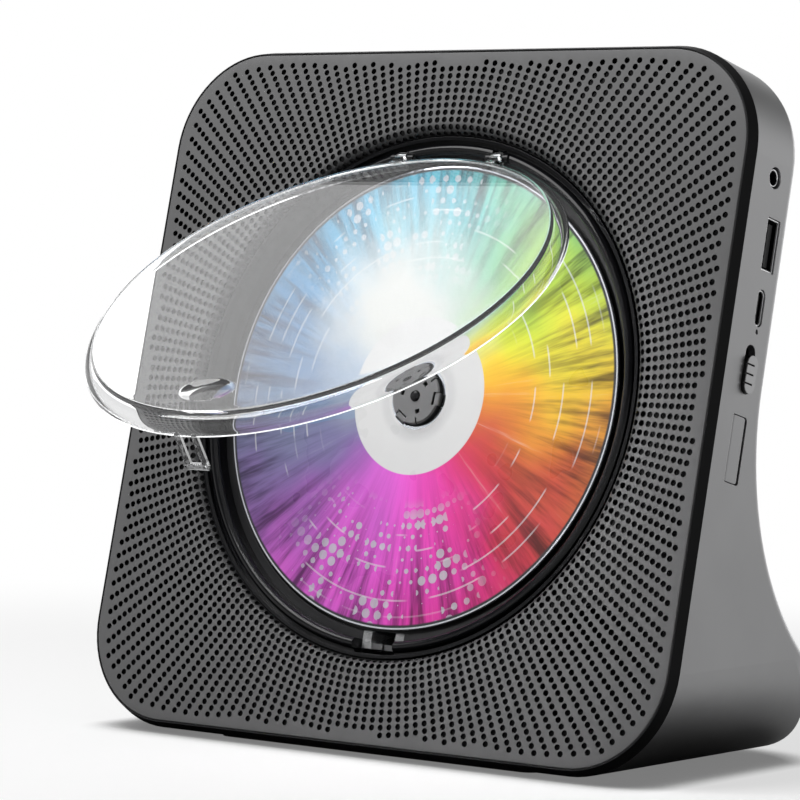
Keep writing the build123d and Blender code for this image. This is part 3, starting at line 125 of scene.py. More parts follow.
# ---- node graphs -----------------------------------------------------------------------------------------
class Graph:
    """Node tree of a material or a world, with short calls for the nodes that they share."""

    def __init__(self, name: str, world: bool = False) -> None:
        """Start an empty material or world.

        Args:
            name: Its name.
            world: Whether it is a world.
        """
        self.owner = (bpy.data.worlds if world else bpy.data.materials).new(name)
        self.owner.use_nodes = True
        self.nodes, self.links = self.owner.node_tree.nodes, self.owner.node_tree.links
        self.nodes.clear()
        self.output = self.nodes.new("ShaderNodeOutputWorld" if world else "ShaderNodeOutputMaterial")

    def put(self, socket: Any, value: Any) -> None:
        """Set a socket to a plain value, or link it to another socket.

        Args:
            socket: The socket that is set.
            value: A number, a colour or an output socket.
        """
        if isinstance(value, bpy.types.NodeSocket):
            self.links.new(value, socket)
        elif isinstance(value, tuple) and len(value) == 3 and socket.type == "RGBA":
            socket.default_value = (*value, 1.0)
        else:
            socket.default_value = value

    def add(self, kind: str, inputs: dict[Any, Any] | None = None, **settings: Any) -> Any:
        """Add a node.

        Args:
            kind: The node's type, without its ShaderNode prefix.
            inputs: Values or sockets for its inputs, by name or number.
            **settings: Properties of the node.

        Returns:
            The new node.
        """
        node = self.nodes.new("ShaderNode" + kind)
        for name, value in settings.items():
            setattr(node, name, value)
        for name, value in (inputs or {}).items():
            self.put(node.inputs[name], value)
        return node

    def math(self, operation: str, first: Any, second: Any = 0.0) -> Any:
        """Return the socket of a Math node."""
        return self.add("Math", {0: first, 1: second}, operation=operation).outputs[0]

    def chain(self, value: Any, *steps: tuple[str, Any]) -> Any:
        """Run a value through Math steps.

        Args:
            value: The value's socket.
            *steps: Operations, each with its second input.

        Returns:
            The last step's socket.
        """
        for operation, second in steps:
            value = self.math(operation, value, second)
        return value

    def length(self, first: Any, second: Any) -> Any:
        """Return the length of a flat vector."""
        squares = (self.math("POWER", value, 2.0) for value in (first, second))
        return self.math("SQRT", self.math("ADD", *squares))

    def smooth(self, value: Any, low: float, high: float, to_low: float = 0.0, to_high: float = 1.0) -> Any:
        """Return value eased from low..high to to_low..to_high."""
        inputs = {0: value, 1: low, 2: high, 3: to_low, 4: to_high}
        return self.add("MapRange", inputs, interpolation_type="SMOOTHSTEP").outputs[0]

    def mix(self, share: Any, first: Any, second: Any, blend: str = "MIX") -> Any:
        """Return the colour socket of a colour mix.

        Args:
            share: How much of the second colour shows.
            first: The colour below.
            second: The colour on top.
            blend: The way they blend.

        Returns:
            The mixed colour.
        """
        node = self.add("Mix", data_type="RGBA", blend_type=blend)
        self.put(node.inputs[0], share)
        self.put(node.inputs[6], first)
        self.put(node.inputs[7], second)
        return node.outputs[2]

    def noise(self, vector: Any, scale: float, detail: float = 2.0, rough: float = 0.5) -> Any:
        """Return the value socket of a noise texture."""
        inputs = {"Vector": vector, "Scale": scale, "Detail": detail, "Roughness": rough}
        return self.add("TexNoise", inputs).outputs[0]

    def row_point(self) -> Any:
        """Return the piece's own coordinates: metres in the row frame at rest."""
        return self.add("TexCoord").outputs["Object"]

    def face_point(self, face: FaceFrame) -> Any:
        """Return millimetres in the face frame.

        Args:
            face: The frame.

        Returns:
            The socket of the point.
        """
        place, turn, size = face.matrix.decompose()
        inputs = {"Vector": self.row_point(), "Location": place[:], "Rotation": turn.to_euler()[:],
                  "Scale": size[:]}
        return self.add("Mapping", inputs, vector_type="TEXTURE").outputs[0]

    def edge_rounding(self, width: float) -> tuple[Any, Any]:
        """Return a normal rounded over the piece's edges, and how near a place is to one.

        Args:
            width: Radius of the rounding, in metres.

        Returns:
            The normal's socket, and one that goes from 0 on open surface to 1 on an edge.
        """
        rounded = self.add("Bevel", {"Radius": width}, samples=4).outputs[0]
        true = self.add("NewGeometry").outputs["Normal"]
        along = self.add("VectorMath", {0: rounded, 1: true}, operation="DOT_PRODUCT").outputs["Value"]
        return rounded, self.smooth(along, 0.99, 0.80)

    def bump(self, height: Any, strength: float, distance: float, normal: Any = None) -> Any:
        """Return a bumped normal.

        Args:
            height: The height's socket.
            strength: How strong the bump is.
            distance: Height of the bump, in metres.
            normal: A normal to start from, where it isn't the surface's own.

        Returns:
            The normal's socket.
        """
        inputs = {"Height": height, "Strength": strength, "Distance": distance}
        if normal is not None:
            inputs["Normal"] = normal
        return self.add("Bump", inputs).outputs[0]

    def surface(self, inputs: dict[str, Any]) -> bpy.types.Material:
        """Finish the material with one Principled shader.

        Args:
            inputs: Values or sockets for the shader's inputs.

        Returns:
            The finished material.
        """
        return self.close(self.add("BsdfPrincipled", inputs))

    def close(self, shader: Any) -> Any:
        """Finish the material or world.

        Args:
            shader: The node that its output takes.

        Returns:
            The finished material or world.
        """
        self.links.new(shader.outputs[0], self.output.inputs[0])
        return self.owner

    def blend(self, share: Any, first: Any, second: Any) -> Any:
        """Return a node that mixes two shaders, with share of the second."""
        return self.add("MixShader", {0: share, 1: first.outputs[0], 2: second.outputs[0]})


# ---- finishes --------------------------------------------------------------------------------------------
@dataclass(frozen=True)
class Moulded:
    """Moulded plastic or satin lacquer: fine grain, slow sheen changes and rounded edges, lightened as wear
    and as painted highlight.
    """

    name: str
    colour: Colour
    roughness: float = 0.45
    grain: float = 0.15
    grain_scale: float = 2600.0
    drift: float = 0.05
    metallic: float = 0.0
    coat: float = 0.0
    specular: float = 0.5
    edge: float = 0.0002
    wear_and_highlight_share: float = 0.25

    def make(self) -> bpy.types.Material:
        """Build the material.

        Returns:
            The finished material.
        """
        graph = Graph(self.name)
        point = graph.row_point()
        cloud = graph.noise(point, 34.0, 3.0)
        fine = graph.noise(point, self.grain_scale, 2.0)
        light = tuple(min(1.0, channel * 1.04 + 0.001) for channel in self.colour)
        dark = tuple(channel * 0.96 for channel in self.colour)
        # wear and painted highlight: edges lighten towards twice the colour
        wear_and_highlight = tuple(min(1.0, channel * 2.0 + 0.02) for channel in self.colour)
        smooth, rough = self.roughness - self.drift, self.roughness + self.drift
        normal, near_edge = graph.edge_rounding(self.edge)
        colour = graph.mix(graph.smooth(cloud, *CLOUDS), dark, light)
        return graph.surface({
            "Base Color": graph.mix(graph.math("MULTIPLY", near_edge, self.wear_and_highlight_share), colour, wear_and_highlight),
            "Roughness": graph.smooth(cloud, *CLOUDS, smooth, rough),
            "Metallic": self.metallic,
            "Specular IOR Level": self.specular,
            "Coat Weight": self.coat,
            "Coat Roughness": 0.12,
            "Normal": graph.bump(fine, self.grain, 0.00004, normal),
        })


class Axis(Enum):
    """Directions of the face frame, by their place in a point."""

    RIGHT = 0
    OUT = 2


@dataclass(frozen=True)
class PaintedShadeBelow:
    """Fine-grained plastic or plate with painted shade: it turns dark below a level, like the foot of a knob
    in its slot.
    """

    name: str
    face: FaceFrame
    colour: Colour
    painted_shade_colour: Colour
    axis: Axis
    level: float
    metallic: float = 0.0
    fade: float = 0.12
    wear_and_highlight: Colour = (0.5, 0.5, 0.5)

    def make(self) -> bpy.types.Material:
        """Build the material.

        Returns:
            The finished material.
        """
        graph = Graph(self.name)
        place = graph.add("SeparateXYZ", {0: graph.face_point(self.face)}).outputs[self.axis.value]
        above = graph.smooth(place, self.level - self.fade, self.level + self.fade)
        fine = graph.noise(graph.row_point(), 2400.0, 2.0)
        cloud = graph.noise(graph.row_point(), 60.0, 2.0)
        light = tuple(channel * 1.05 for channel in self.colour)
        normal, near_edge = graph.edge_rounding(0.0002)
        clean = graph.mix(cloud, self.colour, light)
        # wear and painted highlight: edges drawn towards grey
        colour = graph.mix(graph.math("MULTIPLY", near_edge, 0.3), clean, self.wear_and_highlight)
        inputs = {
            # painted shade: dark below the level, where a hub's side, a knob's flank or a socket's inside
            # lies in shade
            "Base Color": graph.mix(above, self.painted_shade_colour, colour),
            "Roughness": graph.smooth(cloud, *CLOUDS, 0.34, 0.42),
            "Specular IOR Level": 0.25,
            "Normal": graph.bump(fine, 0.15, 0.00004, normal),
        }
        if self.metallic:
            inputs["Metallic"] = above
        return graph.surface(inputs)


@dataclass(frozen=True)
class GrillePaint:
    """Satin paint on the pressed sheet, with painted shade that darkens it to black over the rolled collar.
    """

    name: str
    face: FaceFrame
    colour: Colour
    # radii and colour of the painted shade over the rolled collar
    painted_shade_in: float = 67.8
    painted_shade_out: float = 72.6
    shadow_tone: Colour = (0.006, 0.006, 0.007)

    def make(self) -> bpy.types.Material:
        """Build the material.

        Returns:
            The finished material.
        """
        graph = Graph(self.name)
        split = graph.add("SeparateXYZ", {0: graph.face_point(self.face)})
        radius = graph.length(split.outputs[0], split.outputs[1])
        point = graph.row_point()
        cloud = graph.noise(point, 26.0, 3.0)
        orange_peel = graph.noise(point, 1500.0, 2.0)
        dark, light = (tuple(c * share for c in self.colour) for share in (0.97, 1.03))
        paint = graph.mix(graph.smooth(cloud, *CLOUDS), dark, light)
        # painted shade: the paint darkens towards black over the rolled collar, where the well's shade falls
        shaded = graph.mix(graph.smooth(radius, self.painted_shade_in, self.painted_shade_out, 0.94, 0.0), paint, self.shadow_tone)
        return graph.surface({
            "Base Color": shaded,
            "Roughness": graph.smooth(cloud, *CLOUDS, 0.48, 0.56),
            "Specular IOR Level": 0.35,
            "Normal": graph.bump(orange_peel, 0.10, 0.00003),
        })


@dataclass(frozen=True)
class Metal:
    """Plain metal with fine draw lines along X."""

    name: str
    colour: Colour
    roughness: float = 0.28
    lines: float = 0.2

    def make(self) -> bpy.types.Material:
        """Build the material.

        Returns:
            The finished material.
        """
        graph = Graph(self.name)
        stretched = graph.add("Mapping", {"Vector": graph.row_point(), "Scale": (60.0, 2200.0, 2200.0)})
        streak = graph.noise(stretched.outputs[0], 1.0, 2.0)
        normal, _ = graph.edge_rounding(0.0001)
        return graph.surface({
            "Base Color": graph.mix(streak, tuple(c * 0.88 for c in self.colour), self.colour),
            "Metallic": 1.0,
            "Roughness": graph.smooth(streak, *CLOUDS, self.roughness - 0.06, self.roughness + 0.08),
            "Normal": graph.bump(streak, self.lines, 0.00002, normal),
        })


@dataclass(frozen=True)
class ClearPlastic:
    """Polished clear plastic with a faint haze, which lets lamps through."""

    name: str
    tint: Colour = (0.992, 0.996, 1.0)
    haze: float = 0.012
    index: float = 1.49

    def make(self) -> bpy.types.Material:
        """Build the material.

        Returns:
            The finished material.
        """
        graph = Graph(self.name)
        cloud = graph.noise(graph.row_point(), 45.0, 2.0)
        shader = graph.add("BsdfPrincipled", {
            "Base Color": self.tint,
            "Roughness": graph.smooth(cloud, 0.2, 0.8, 0.0, 0.002),
            "IOR": self.index,
            "Transmission Weight": 1.0,
        })
        film = graph.add("BsdfDiffuse", {"Color": (0.95, 0.96, 0.97)})
        shadow_tone = graph.add("BsdfTransparent", {"Color": (0.97, 0.97, 0.97)})
        shadow_ray = graph.add("LightPath").outputs["Is Shadow Ray"]
        return graph.close(graph.blend(shadow_ray, graph.blend(self.haze, shader, film), shadow_tone))


class PrintGraph(Graph):
    """Node tree of the disc's print, with places on its face as sockets."""

    def __init__(self, name: str, face: FaceFrame) -> None:
        """Start the material and its places.

        Args:
            name: The material's name.
            face: The face frame.
        """
        super().__init__(name)
        self.point = self.face_point(face)
        self.x, self.y, _ = self.add("SeparateXYZ", {0: self.point}).outputs
        self.radius = self.length(self.x, self.y)
        self.around = self.chain(self.math("ARCTAN2", self.y, self.x), ("DIVIDE", 2 * math.pi), ("ADD", 0.5))


@dataclass(frozen=True)
class DiscPrint:
    """Printed face of the disc: a wheel of hues with rays, rings and dots round a pale middle."""

    name: str
    face: FaceFrame
    radius: float = 60.0
    drift: float = 0.16                         # how far the hues wander, as a share of a turn
    swirl: tuple[float, float] = (0.05, 0.06)   # turn of the wheel at the rim, and its start
    ray: tuple[float, float] = (70.0, 0.02)     # rays in a turn, and their change per millimetre
    dot_pitch: float = 2.9
    dot_spokes: float = 90.0
    dot_sectors: tuple[float, float] = (0.80, 0.24)
    dot_ink: Colour = (0.42, 0.44, 0.47)
    arc_pitch: float = 4.2
    arc_width: float = 0.055
    arc_ink: Colour = (0.60, 0.60, 0.60)
    glow_at: tuple[float, float] = (-9.0, 20.0)
    glow_reach: tuple[float, float] = (6.0, 34.0)
    glow_ink: Colour = (0.54, 0.55, 0.53)
    white: tuple[float, Colour] = (20.0, (0.54, 0.54, 0.54))
    hub_painted_shadow: Colour = (0.42, 0.42, 0.43)
    rim_ink: Colour = (0.03, 0.03, 0.035)
    hues: tuple[tuple[float, Colour], ...] = (
        (0.00, (0.17, 0.20, 0.30)),     # left
        (0.08, (0.17, 0.09, 0.30)),
        (0.17, (0.70, 0.12, 0.64)),
        (0.27, (0.70, 0.04, 0.38)),     # bottom
        (0.34, (0.54, 0.015, 0.05)),
        (0.42, (0.48, 0.07, 0.03)),
        (0.48, (0.78, 0.32, 0.015)),   # right
        (0.54, (0.68, 0.74, 0.03)),
        (0.61, (0.13, 0.38, 0.05)),
        (0.70, (0.10, 0.45, 0.45)),
        (0.80, (0.07, 0.38, 0.58)),     # top
        (0.90, (0.05, 0.24, 0.50)),
        (1.00, (0.17, 0.20, 0.30)),
    )

    def make(self) -> bpy.types.Material:
        """Build the material.

        Returns:
            The finished material.
        """
        graph = PrintGraph(self.name, self.face)
        colour = self.wheel(graph)
        for layer in (self.rays, self.dots, self.arcs, self.middle):
            colour = layer(graph, colour)
        rough = graph.noise(graph.row_point(), 60.0, 2.0)
        return graph.surface({
            "Base Color": colour,
            "Roughness": graph.smooth(rough, *CLOUDS, 0.26, 0.36),
            "Specular IOR Level": 0.3,
            "Normal": graph.bump(graph.noise(graph.row_point(), 900.0, 1.0), 0.03, 0.00002),
        })

    def wheel(self, graph: PrintGraph) -> Any:
        """Lay the hue wheel, swirled a little towards the rim.

        Args:
            graph: The material.

        Returns:
            The colour's socket.
        """
        drift = graph.chain(graph.noise(graph.point, 0.035, 2.0), ("SUBTRACT", 0.5), ("MULTIPLY", self.drift))
        turn, start = self.swirl
        swirl = graph.chain(graph.radius, ("MULTIPLY", turn / self.radius), ("SUBTRACT", start))
        share = graph.math("FRACT", graph.math("ADD", graph.math("ADD", graph.around, drift), swirl))
        node = graph.add("ValToRGB", {0: share})
        ramp = node.color_ramp
        for place, colour in self.hues[1:-1]:
            ramp.elements.new(place).color = (*colour, 1.0)
        ramp.elements[0].color = (*self.hues[0][1], 1.0)
        ramp.elements[-1].color = (*self.hues[-1][1], 1.0)
        ramp.interpolation = "B_SPLINE"
        return node.outputs[0]

    def rays(self, graph: PrintGraph, colour: Any) -> Any:
        """Lay fine rays of light and shade that run outwards.

        Args:
            graph: The material.
            colour: The colour below.

        Returns:
            The colour's socket.
        """
        count, change = self.ray
        inputs = {0: graph.math("MULTIPLY", graph.around, count),
                  1: graph.math("MULTIPLY", graph.radius, change)}
        ray = graph.noise(graph.add("CombineXYZ", inputs).outputs[0], 1.0, 4.0, 0.65)
        shade = graph.smooth(ray, 0.34, 0.60, 0.0, 1.0)
        light = graph.smooth(ray, 0.60, 0.82, 0.0, 0.40)
        darker = graph.mix(graph.smooth(graph.radius, 20.0, 58.0, 0.1, 0.92), (1, 1, 1), (0.10, 0.08, 0.11))
        shaded = graph.mix(shade, graph.mix(1.0, colour, darker, "MULTIPLY"), colour)
        return graph.mix(light, shaded, (0.62, 0.60, 0.54))

    def dots(self, graph: PrintGraph, colour: Any) -> Any:
        """Lay rings of round pale dots in two sectors.

        Args:
            graph: The material.
            colour: The colour below.

        Returns:
            The colour's socket.
        """
        pitch, spokes = self.dot_pitch, self.dot_spokes
        ring, step = graph.math("DIVIDE", graph.radius, pitch), graph.math("MULTIPLY", graph.around, spokes)
        row, column = graph.math("FLOOR", ring), graph.math("FLOOR", step)
        offset = graph.chain(row, ("MODULO", 2.0), ("MULTIPLY", 0.5))
        across = graph.chain(graph.math("ADD", step, offset), ("FRACT", 0.0), ("SUBTRACT", 0.5))
        step_width = graph.math("MULTIPLY", graph.radius, 2 * math.pi / spokes / pitch)
        wide = graph.math("MULTIPLY", across, step_width)
        away = graph.length(wide, graph.chain(ring, ("FRACT", 0.0), ("SUBTRACT", 0.5)))
        patch = graph.noise(graph.add("CombineXYZ", {0: column, 1: row}).outputs[0], 0.35, 2.0)
        dot = graph.math("LESS_THAN", away, graph.smooth(patch, 0.40, 0.66, 0.0, 0.44))
        sectors = []
        for middle in self.dot_sectors:
            off = graph.chain(graph.around, ("SUBTRACT", middle), ("ABSOLUTE", 0.0))
            sectors.append(graph.smooth(off, 0.06, 0.13, 1.0, 0.0))
        zone = graph.math("MULTIPLY", graph.math("MAXIMUM", *sectors), graph.smooth(graph.radius, 26.0, 34.0))
        return graph.mix(graph.chain(dot, ("MULTIPLY", zone), ("MULTIPLY", 0.80)), colour, self.dot_ink)

    def arcs(self, graph: PrintGraph, colour: Any) -> Any:
        """Lay a few thin arcs, like the rings of a level meter.

        Args:
            graph: The material.
            colour: The colour below.

        Returns:
            The colour's socket.
        """
        ring = graph.math("DIVIDE", graph.radius, self.arc_pitch)
        off = graph.chain(ring, ("FRACT", 0.0), ("SUBTRACT", 0.5), ("ABSOLUTE", 0.0))
        line = graph.math("LESS_THAN", off, self.arc_width)
        inputs = {0: graph.math("MULTIPLY", graph.around, 9.0), 1: graph.math("FLOOR", ring)}
        part = graph.smooth(graph.noise(graph.add("CombineXYZ", inputs).outputs[0], 1.7, 1.0), 0.52, 0.56)
        zone = graph.math("MULTIPLY", graph.smooth(graph.radius, 30.0, 36.0),
                          graph.smooth(graph.radius, 58.0, 55.0, 0.0, 0.5))
        return graph.mix(graph.chain(line, ("MULTIPLY", part), ("MULTIPLY", zone)), colour, self.arc_ink)

    def middle(self, graph: PrintGraph, colour: Any) -> Any:
        """Lay a glow round the white middle, a grey ring of painted shadow round the hub and a dark rim.

        Args:
            graph: The material.
            colour: The colour below.

        Returns:
            The colour's socket.
        """
        along, up = (graph.math("SUBTRACT", *pair) for pair in zip((graph.x, graph.y), self.glow_at))
        wave = graph.chain(graph.noise(graph.point, 0.06, 2.0), ("SUBTRACT", 0.5), ("MULTIPLY", 22.0))
        glow = graph.smooth(graph.math("ADD", graph.length(along, up), wave), *self.glow_reach, 1.0, 0.0)
        glowing = graph.mix(glow, colour, self.glow_ink)
        reach, ink = self.white
        white = graph.mix(graph.smooth(graph.radius, reach + 0.3, reach), glowing, ink)
        # painted shadow: a grey ring round the hub on the white middle
        ring = graph.math("MULTIPLY", graph.smooth(graph.radius, 8.6, 9.4),
                          graph.smooth(graph.radius, 12.5, 10.4, 0.0, 0.5))
        ringed = graph.mix(ring, white, self.hub_painted_shadow)
        rim = graph.smooth(graph.radius, self.radius - 1.5, self.radius - 1.0)
        return graph.mix(rim, ringed, self.rim_ink)


@dataclass(frozen=True)
class Silvered:
    """Clear disc blank over its silvered layer."""

    name: str

    def make(self) -> bpy.types.Material:
        """Build the material.

        Returns:
            The finished material.
        """
        graph = Graph(self.name)
        film = graph.noise(graph.row_point(), 20.0, 1.0)
        return graph.surface({
            "Base Color": graph.mix(film, (0.55, 0.60, 0.64), (0.72, 0.70, 0.76)),
            "Metallic": 0.9,
            "Roughness": graph.smooth(film, *CLOUDS, 0.12, 0.18),
            "Coat Weight": 1.0,
            "Coat Roughness": 0.02,
        })


@dataclass(frozen=True)
class Board:
    """Green solder mask with paler copper tracks under it."""

    name: str

    def make(self) -> bpy.types.Material:
        """Build the material.

        Returns:
            The finished material.
        """
        graph = Graph(self.name)
        cells = graph.add("TexVoronoi", {"Vector": graph.row_point(), "Scale": 420.0}, distance="CHEBYCHEV")
        track = graph.smooth(cells.outputs["Distance"], 0.32, 0.36)
        return graph.surface({
            "Base Color": graph.mix(track, (0.01, 0.10, 0.045), (0.03, 0.19, 0.08)),
            "Roughness": graph.smooth(track, 0.0, 1.0, 0.42, 0.3),
            "Normal": graph.bump(track, 0.2, 0.00003),
        })


# ---- meshes ----------------------------------------------------------------------------------------------
def circle(steps: int) -> list[tuple[float, float]]:
    """Return points round a circle of radius 1."""
    turns = (2 * math.pi * i / steps for i in range(steps))
    return [(math.cos(turn), math.sin(turn)) for turn in turns]


def middle_of(points: Sequence[Vector], face: Sequence[int]) -> Vector:
    """Return the middle of a flat face's points."""
    return sum((points[i] for i in face), Vector((0, 0))) / len(face)


def linked(name: str, data: Any) -> bpy.types.Object:
    """Put a new object in the scene.

    Args:
        name: Its name.
        data: Its mesh, lamp or camera.

    Returns:
        The object.
    """
    thing = bpy.data.objects.new(name, data)
    bpy.context.scene.collection.objects.link(thing)
    return thing


class Stock:
    """Points and faces of one piece, laid down in millimetres and then turned into an object."""

    def __init__(self) -> None:
        """Start with nothing."""
        self.points: list[Point] = []
        self.faces: list[tuple[int, ...]] = []

    def rows(self, rows: Sequence[Sequence[Point]], round_u: bool = False, round_v: bool = False) -> None:
        """Skin rows of equally many points.

        Args:
            rows: The rows, each with the same number of points.
            round_u: Whether each row closes on itself.
            round_v: Whether the last row joins the first.
        """
        start, count = len(self.points), len(rows[0])
        for row in rows:
            self.points.extend(row)
        for i in range(len(rows) - (0 if round_v else 1)):
            below = start + i * count
            above = start + ((i + 1) % len(rows)) * count
            for j in range(count - (0 if round_u else 1)):
                k = (j + 1) % count
                self.faces.append((below + j, below + k, above + k, above + j))

    def turned(self, outline: Sequence[tuple[float, float]], steps: int = 192, closed: bool = True) -> None:
        """Turn an outline about the Z axis.

        Args:
            outline: Its (radius, z) points.
            steps: Number of steps round.
            closed: Whether the outline's last point joins its first.
        """
        rows = [[(r * x, r * y, z) for x, y in circle(steps)] for r, z in outline]
        self.rows(rows, round_u=True, round_v=closed)

    def cap(self, ring: Sequence[Point]) -> None:
        """Close a ring of points with one face.

        Args:
            ring: The points.
        """
        start = len(self.points)
        self.points.extend(ring)
        self.faces.append(tuple(range(start, start + len(ring))))

    def prism(self, outline: Sequence[Point], along: Point) -> None:
        """Draw a closed flat outline out along a vector into a solid.

        Args:
            outline: Its points.
            along: The vector.
        """
        far = [(x + along[0], y + along[1], z + along[2]) for x, y, z in outline]
        self.rows([outline, far], round_u=True)
        self.cap(outline)
        self.cap(far)

    def block(self, low: Point, high: Point) -> None:
        """Lay a rectangular block.

        Args:
            low: Its lowest corner.
            high: Its highest corner.
        """
        (x0, y0, z0), (x1, y1, z1) = low, high
        self.prism([(x0, y0, z0), (x1, y0, z0), (x1, y1, z0), (x0, y1, z0)], (0, 0, z1 - z0))

    def mesh(self, name: str) -> bpy.types.Mesh:
        """Make the mesh, welded and facing outwards.

        Args:
            name: The mesh's name.

        Returns:
            The mesh, still in millimetres.
        """
        mesh = bpy.data.meshes.new(name)
        mesh.from_pydata(self.points, [], self.faces)
        built = bmesh.new()
        built.from_mesh(mesh)
        bmesh.ops.remove_doubles(built, verts=built.verts, dist=1e-4)
        bmesh.ops.recalc_face_normals(built, faces=built.faces)
        built.to_mesh(mesh)
        built.free()
        return mesh

    def object(self, name: str, place: Matrix) -> bpy.types.Object:
        """Return the stock as an object, with its mesh in the row frame."""
        return put_in_scene(name, self.mesh(name), place)


def put_in_scene(name: str, mesh: bpy.types.Mesh, place: Matrix, sharp: float = 35.0) -> bpy.types.Object:
    """Put a mesh in the scene.

    Args:
        name: The piece's name.
        mesh: Its mesh.
        place: Matrix from the mesh to the row frame.
        sharp: Edges that turn by more than this many degrees stay crisp.

    Returns:
        The object.
    """
    mesh.transform(place)
    mesh.polygons.foreach_set("use_smooth", [True] * len(mesh.polygons))
    mesh.set_sharp_from_angle(angle=math.radians(sharp))
    return linked(name, mesh)


def carved(name: str, stock: Stock, joined: Stock | None, cut: Stock) -> bpy.types.Mesh:
    """Join solids to a solid and cut others out of it.

    Args:
        name: The result's name.
        stock: The solid.
        joined: Solids that are joined to it.
        cut: Solids that are cut out of it.

    Returns:
        The new mesh, in millimetres.
    """
    helpers = []
    for kind, part in (("body", stock), ("join", joined), ("cut", cut)):
        if part is not None:
            helpers.append((kind, put_in_scene(f"{name}_{kind}", part.mesh(f"{name}_{kind}"), Matrix())))
    body = helpers[0][1]
    for kind, helper in helpers[1:]:
        change = body.modifiers.new(kind, "BOOLEAN")
        change.operation = "UNION" if kind == "join" else "DIFFERENCE"
        change.solver, change.object = "EXACT", helper
    graph = bpy.context.evaluated_depsgraph_get()
    mesh = bpy.data.meshes.new_from_object(body.evaluated_get(graph), depsgraph=graph)
    mesh.name = name
    for _, helper in helpers:
        spare = helper.data
        bpy.data.objects.remove(helper)
        bpy.data.meshes.remove(spare)
    return mesh


def arc_through(first: tuple[float, float], middle: tuple[float, float], last: tuple[float, float],
                steps: int) -> list[tuple[float, float]]:
    """Give points on the arc through three points.

    Args:
        first: Its start.
        middle: A place on it.
        last: Its end.
        steps: Number of steps.

    Returns:
        The points, with both ends.
    """
    (ax, ay), (bx, by), (cx, cy) = first, middle, last
    twice = 2 * (ax * (by - cy) + bx * (cy - ay) + cx * (ay - by))
    a, b, c = ax * ax + ay * ay, bx * bx + by * by, cx * cx + cy * cy
    x = (a * (by - cy) + b * (cy - ay) + c * (ay - by)) / twice
    y = (a * (cx - bx) + b * (ax - cx) + c * (bx - ax)) / twice
    radius = math.hypot(ax - x, ay - y)
    start, end = math.atan2(ay - y, ax - x), math.atan2(cy - y, cx - x)
    sweep = (end - start + math.pi) % (2 * math.pi) - math.pi
    turns = (start + sweep * i / steps for i in range(steps + 1))
    return [(x + radius * math.cos(turn), y + radius * math.sin(turn)) for turn in turns]


def rounded_square(half: float, corner: float, steps: int = 12,
                   straight: int = 1) -> list[tuple[float, float]]:
    """Outline of a rounded square, anticlockwise.

    Args:
        half: Half its width.
        corner: Corner radius.
        steps: Points along each corner.
        straight: Pieces that each straight side is cut into.

    Returns:
        Its points.
    """
    outline = []
    for quarter in range(4):
        turn = math.radians(90 * quarter)
        centre = half - corner
        side = []
        for i in range(steps + 1):
            angle = math.radians(90 * i / steps)
            side.append((centre + corner * math.cos(angle), centre + corner * math.sin(angle)))
        side += [(centre - 2 * centre * i / straight, half) for i in range(1, straight)]
        outline += [(x * math.cos(turn) - y * math.sin(turn), x * math.sin(turn) + y * math.cos(turn))
                    for x, y in side]
    return outline


def finish_with(piece: bpy.types.Object, material: bpy.types.Material) -> None:
    """Give a piece one material all over.

    Args:
        piece: The piece.
        material: Its material.
    """
    piece.data.materials.clear()
    piece.data.materials.append(material)
    piece.data.polygons.foreach_set("material_index", [0] * len(piece.data.polygons))


def declare(piece: bpy.types.Object, material: bpy.types.Material, body: Body, slot: Slot,
            *nodes: str) -> None:
    """Finish a piece, put it on the body that it rides on, and hide the nodes that it stands for.

    Args:
        piece: The piece.
        material: Its material.
        body: The body.
        slot: Not used.
        *nodes: The nodes that it replaces, or none.
    """
    finish_with(piece, material)
    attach(piece, body.value)
    if nodes:
        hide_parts(*nodes)
    LOG.info("%s: %d faces on %s", piece.name, len(piece.data.polygons), body.value)


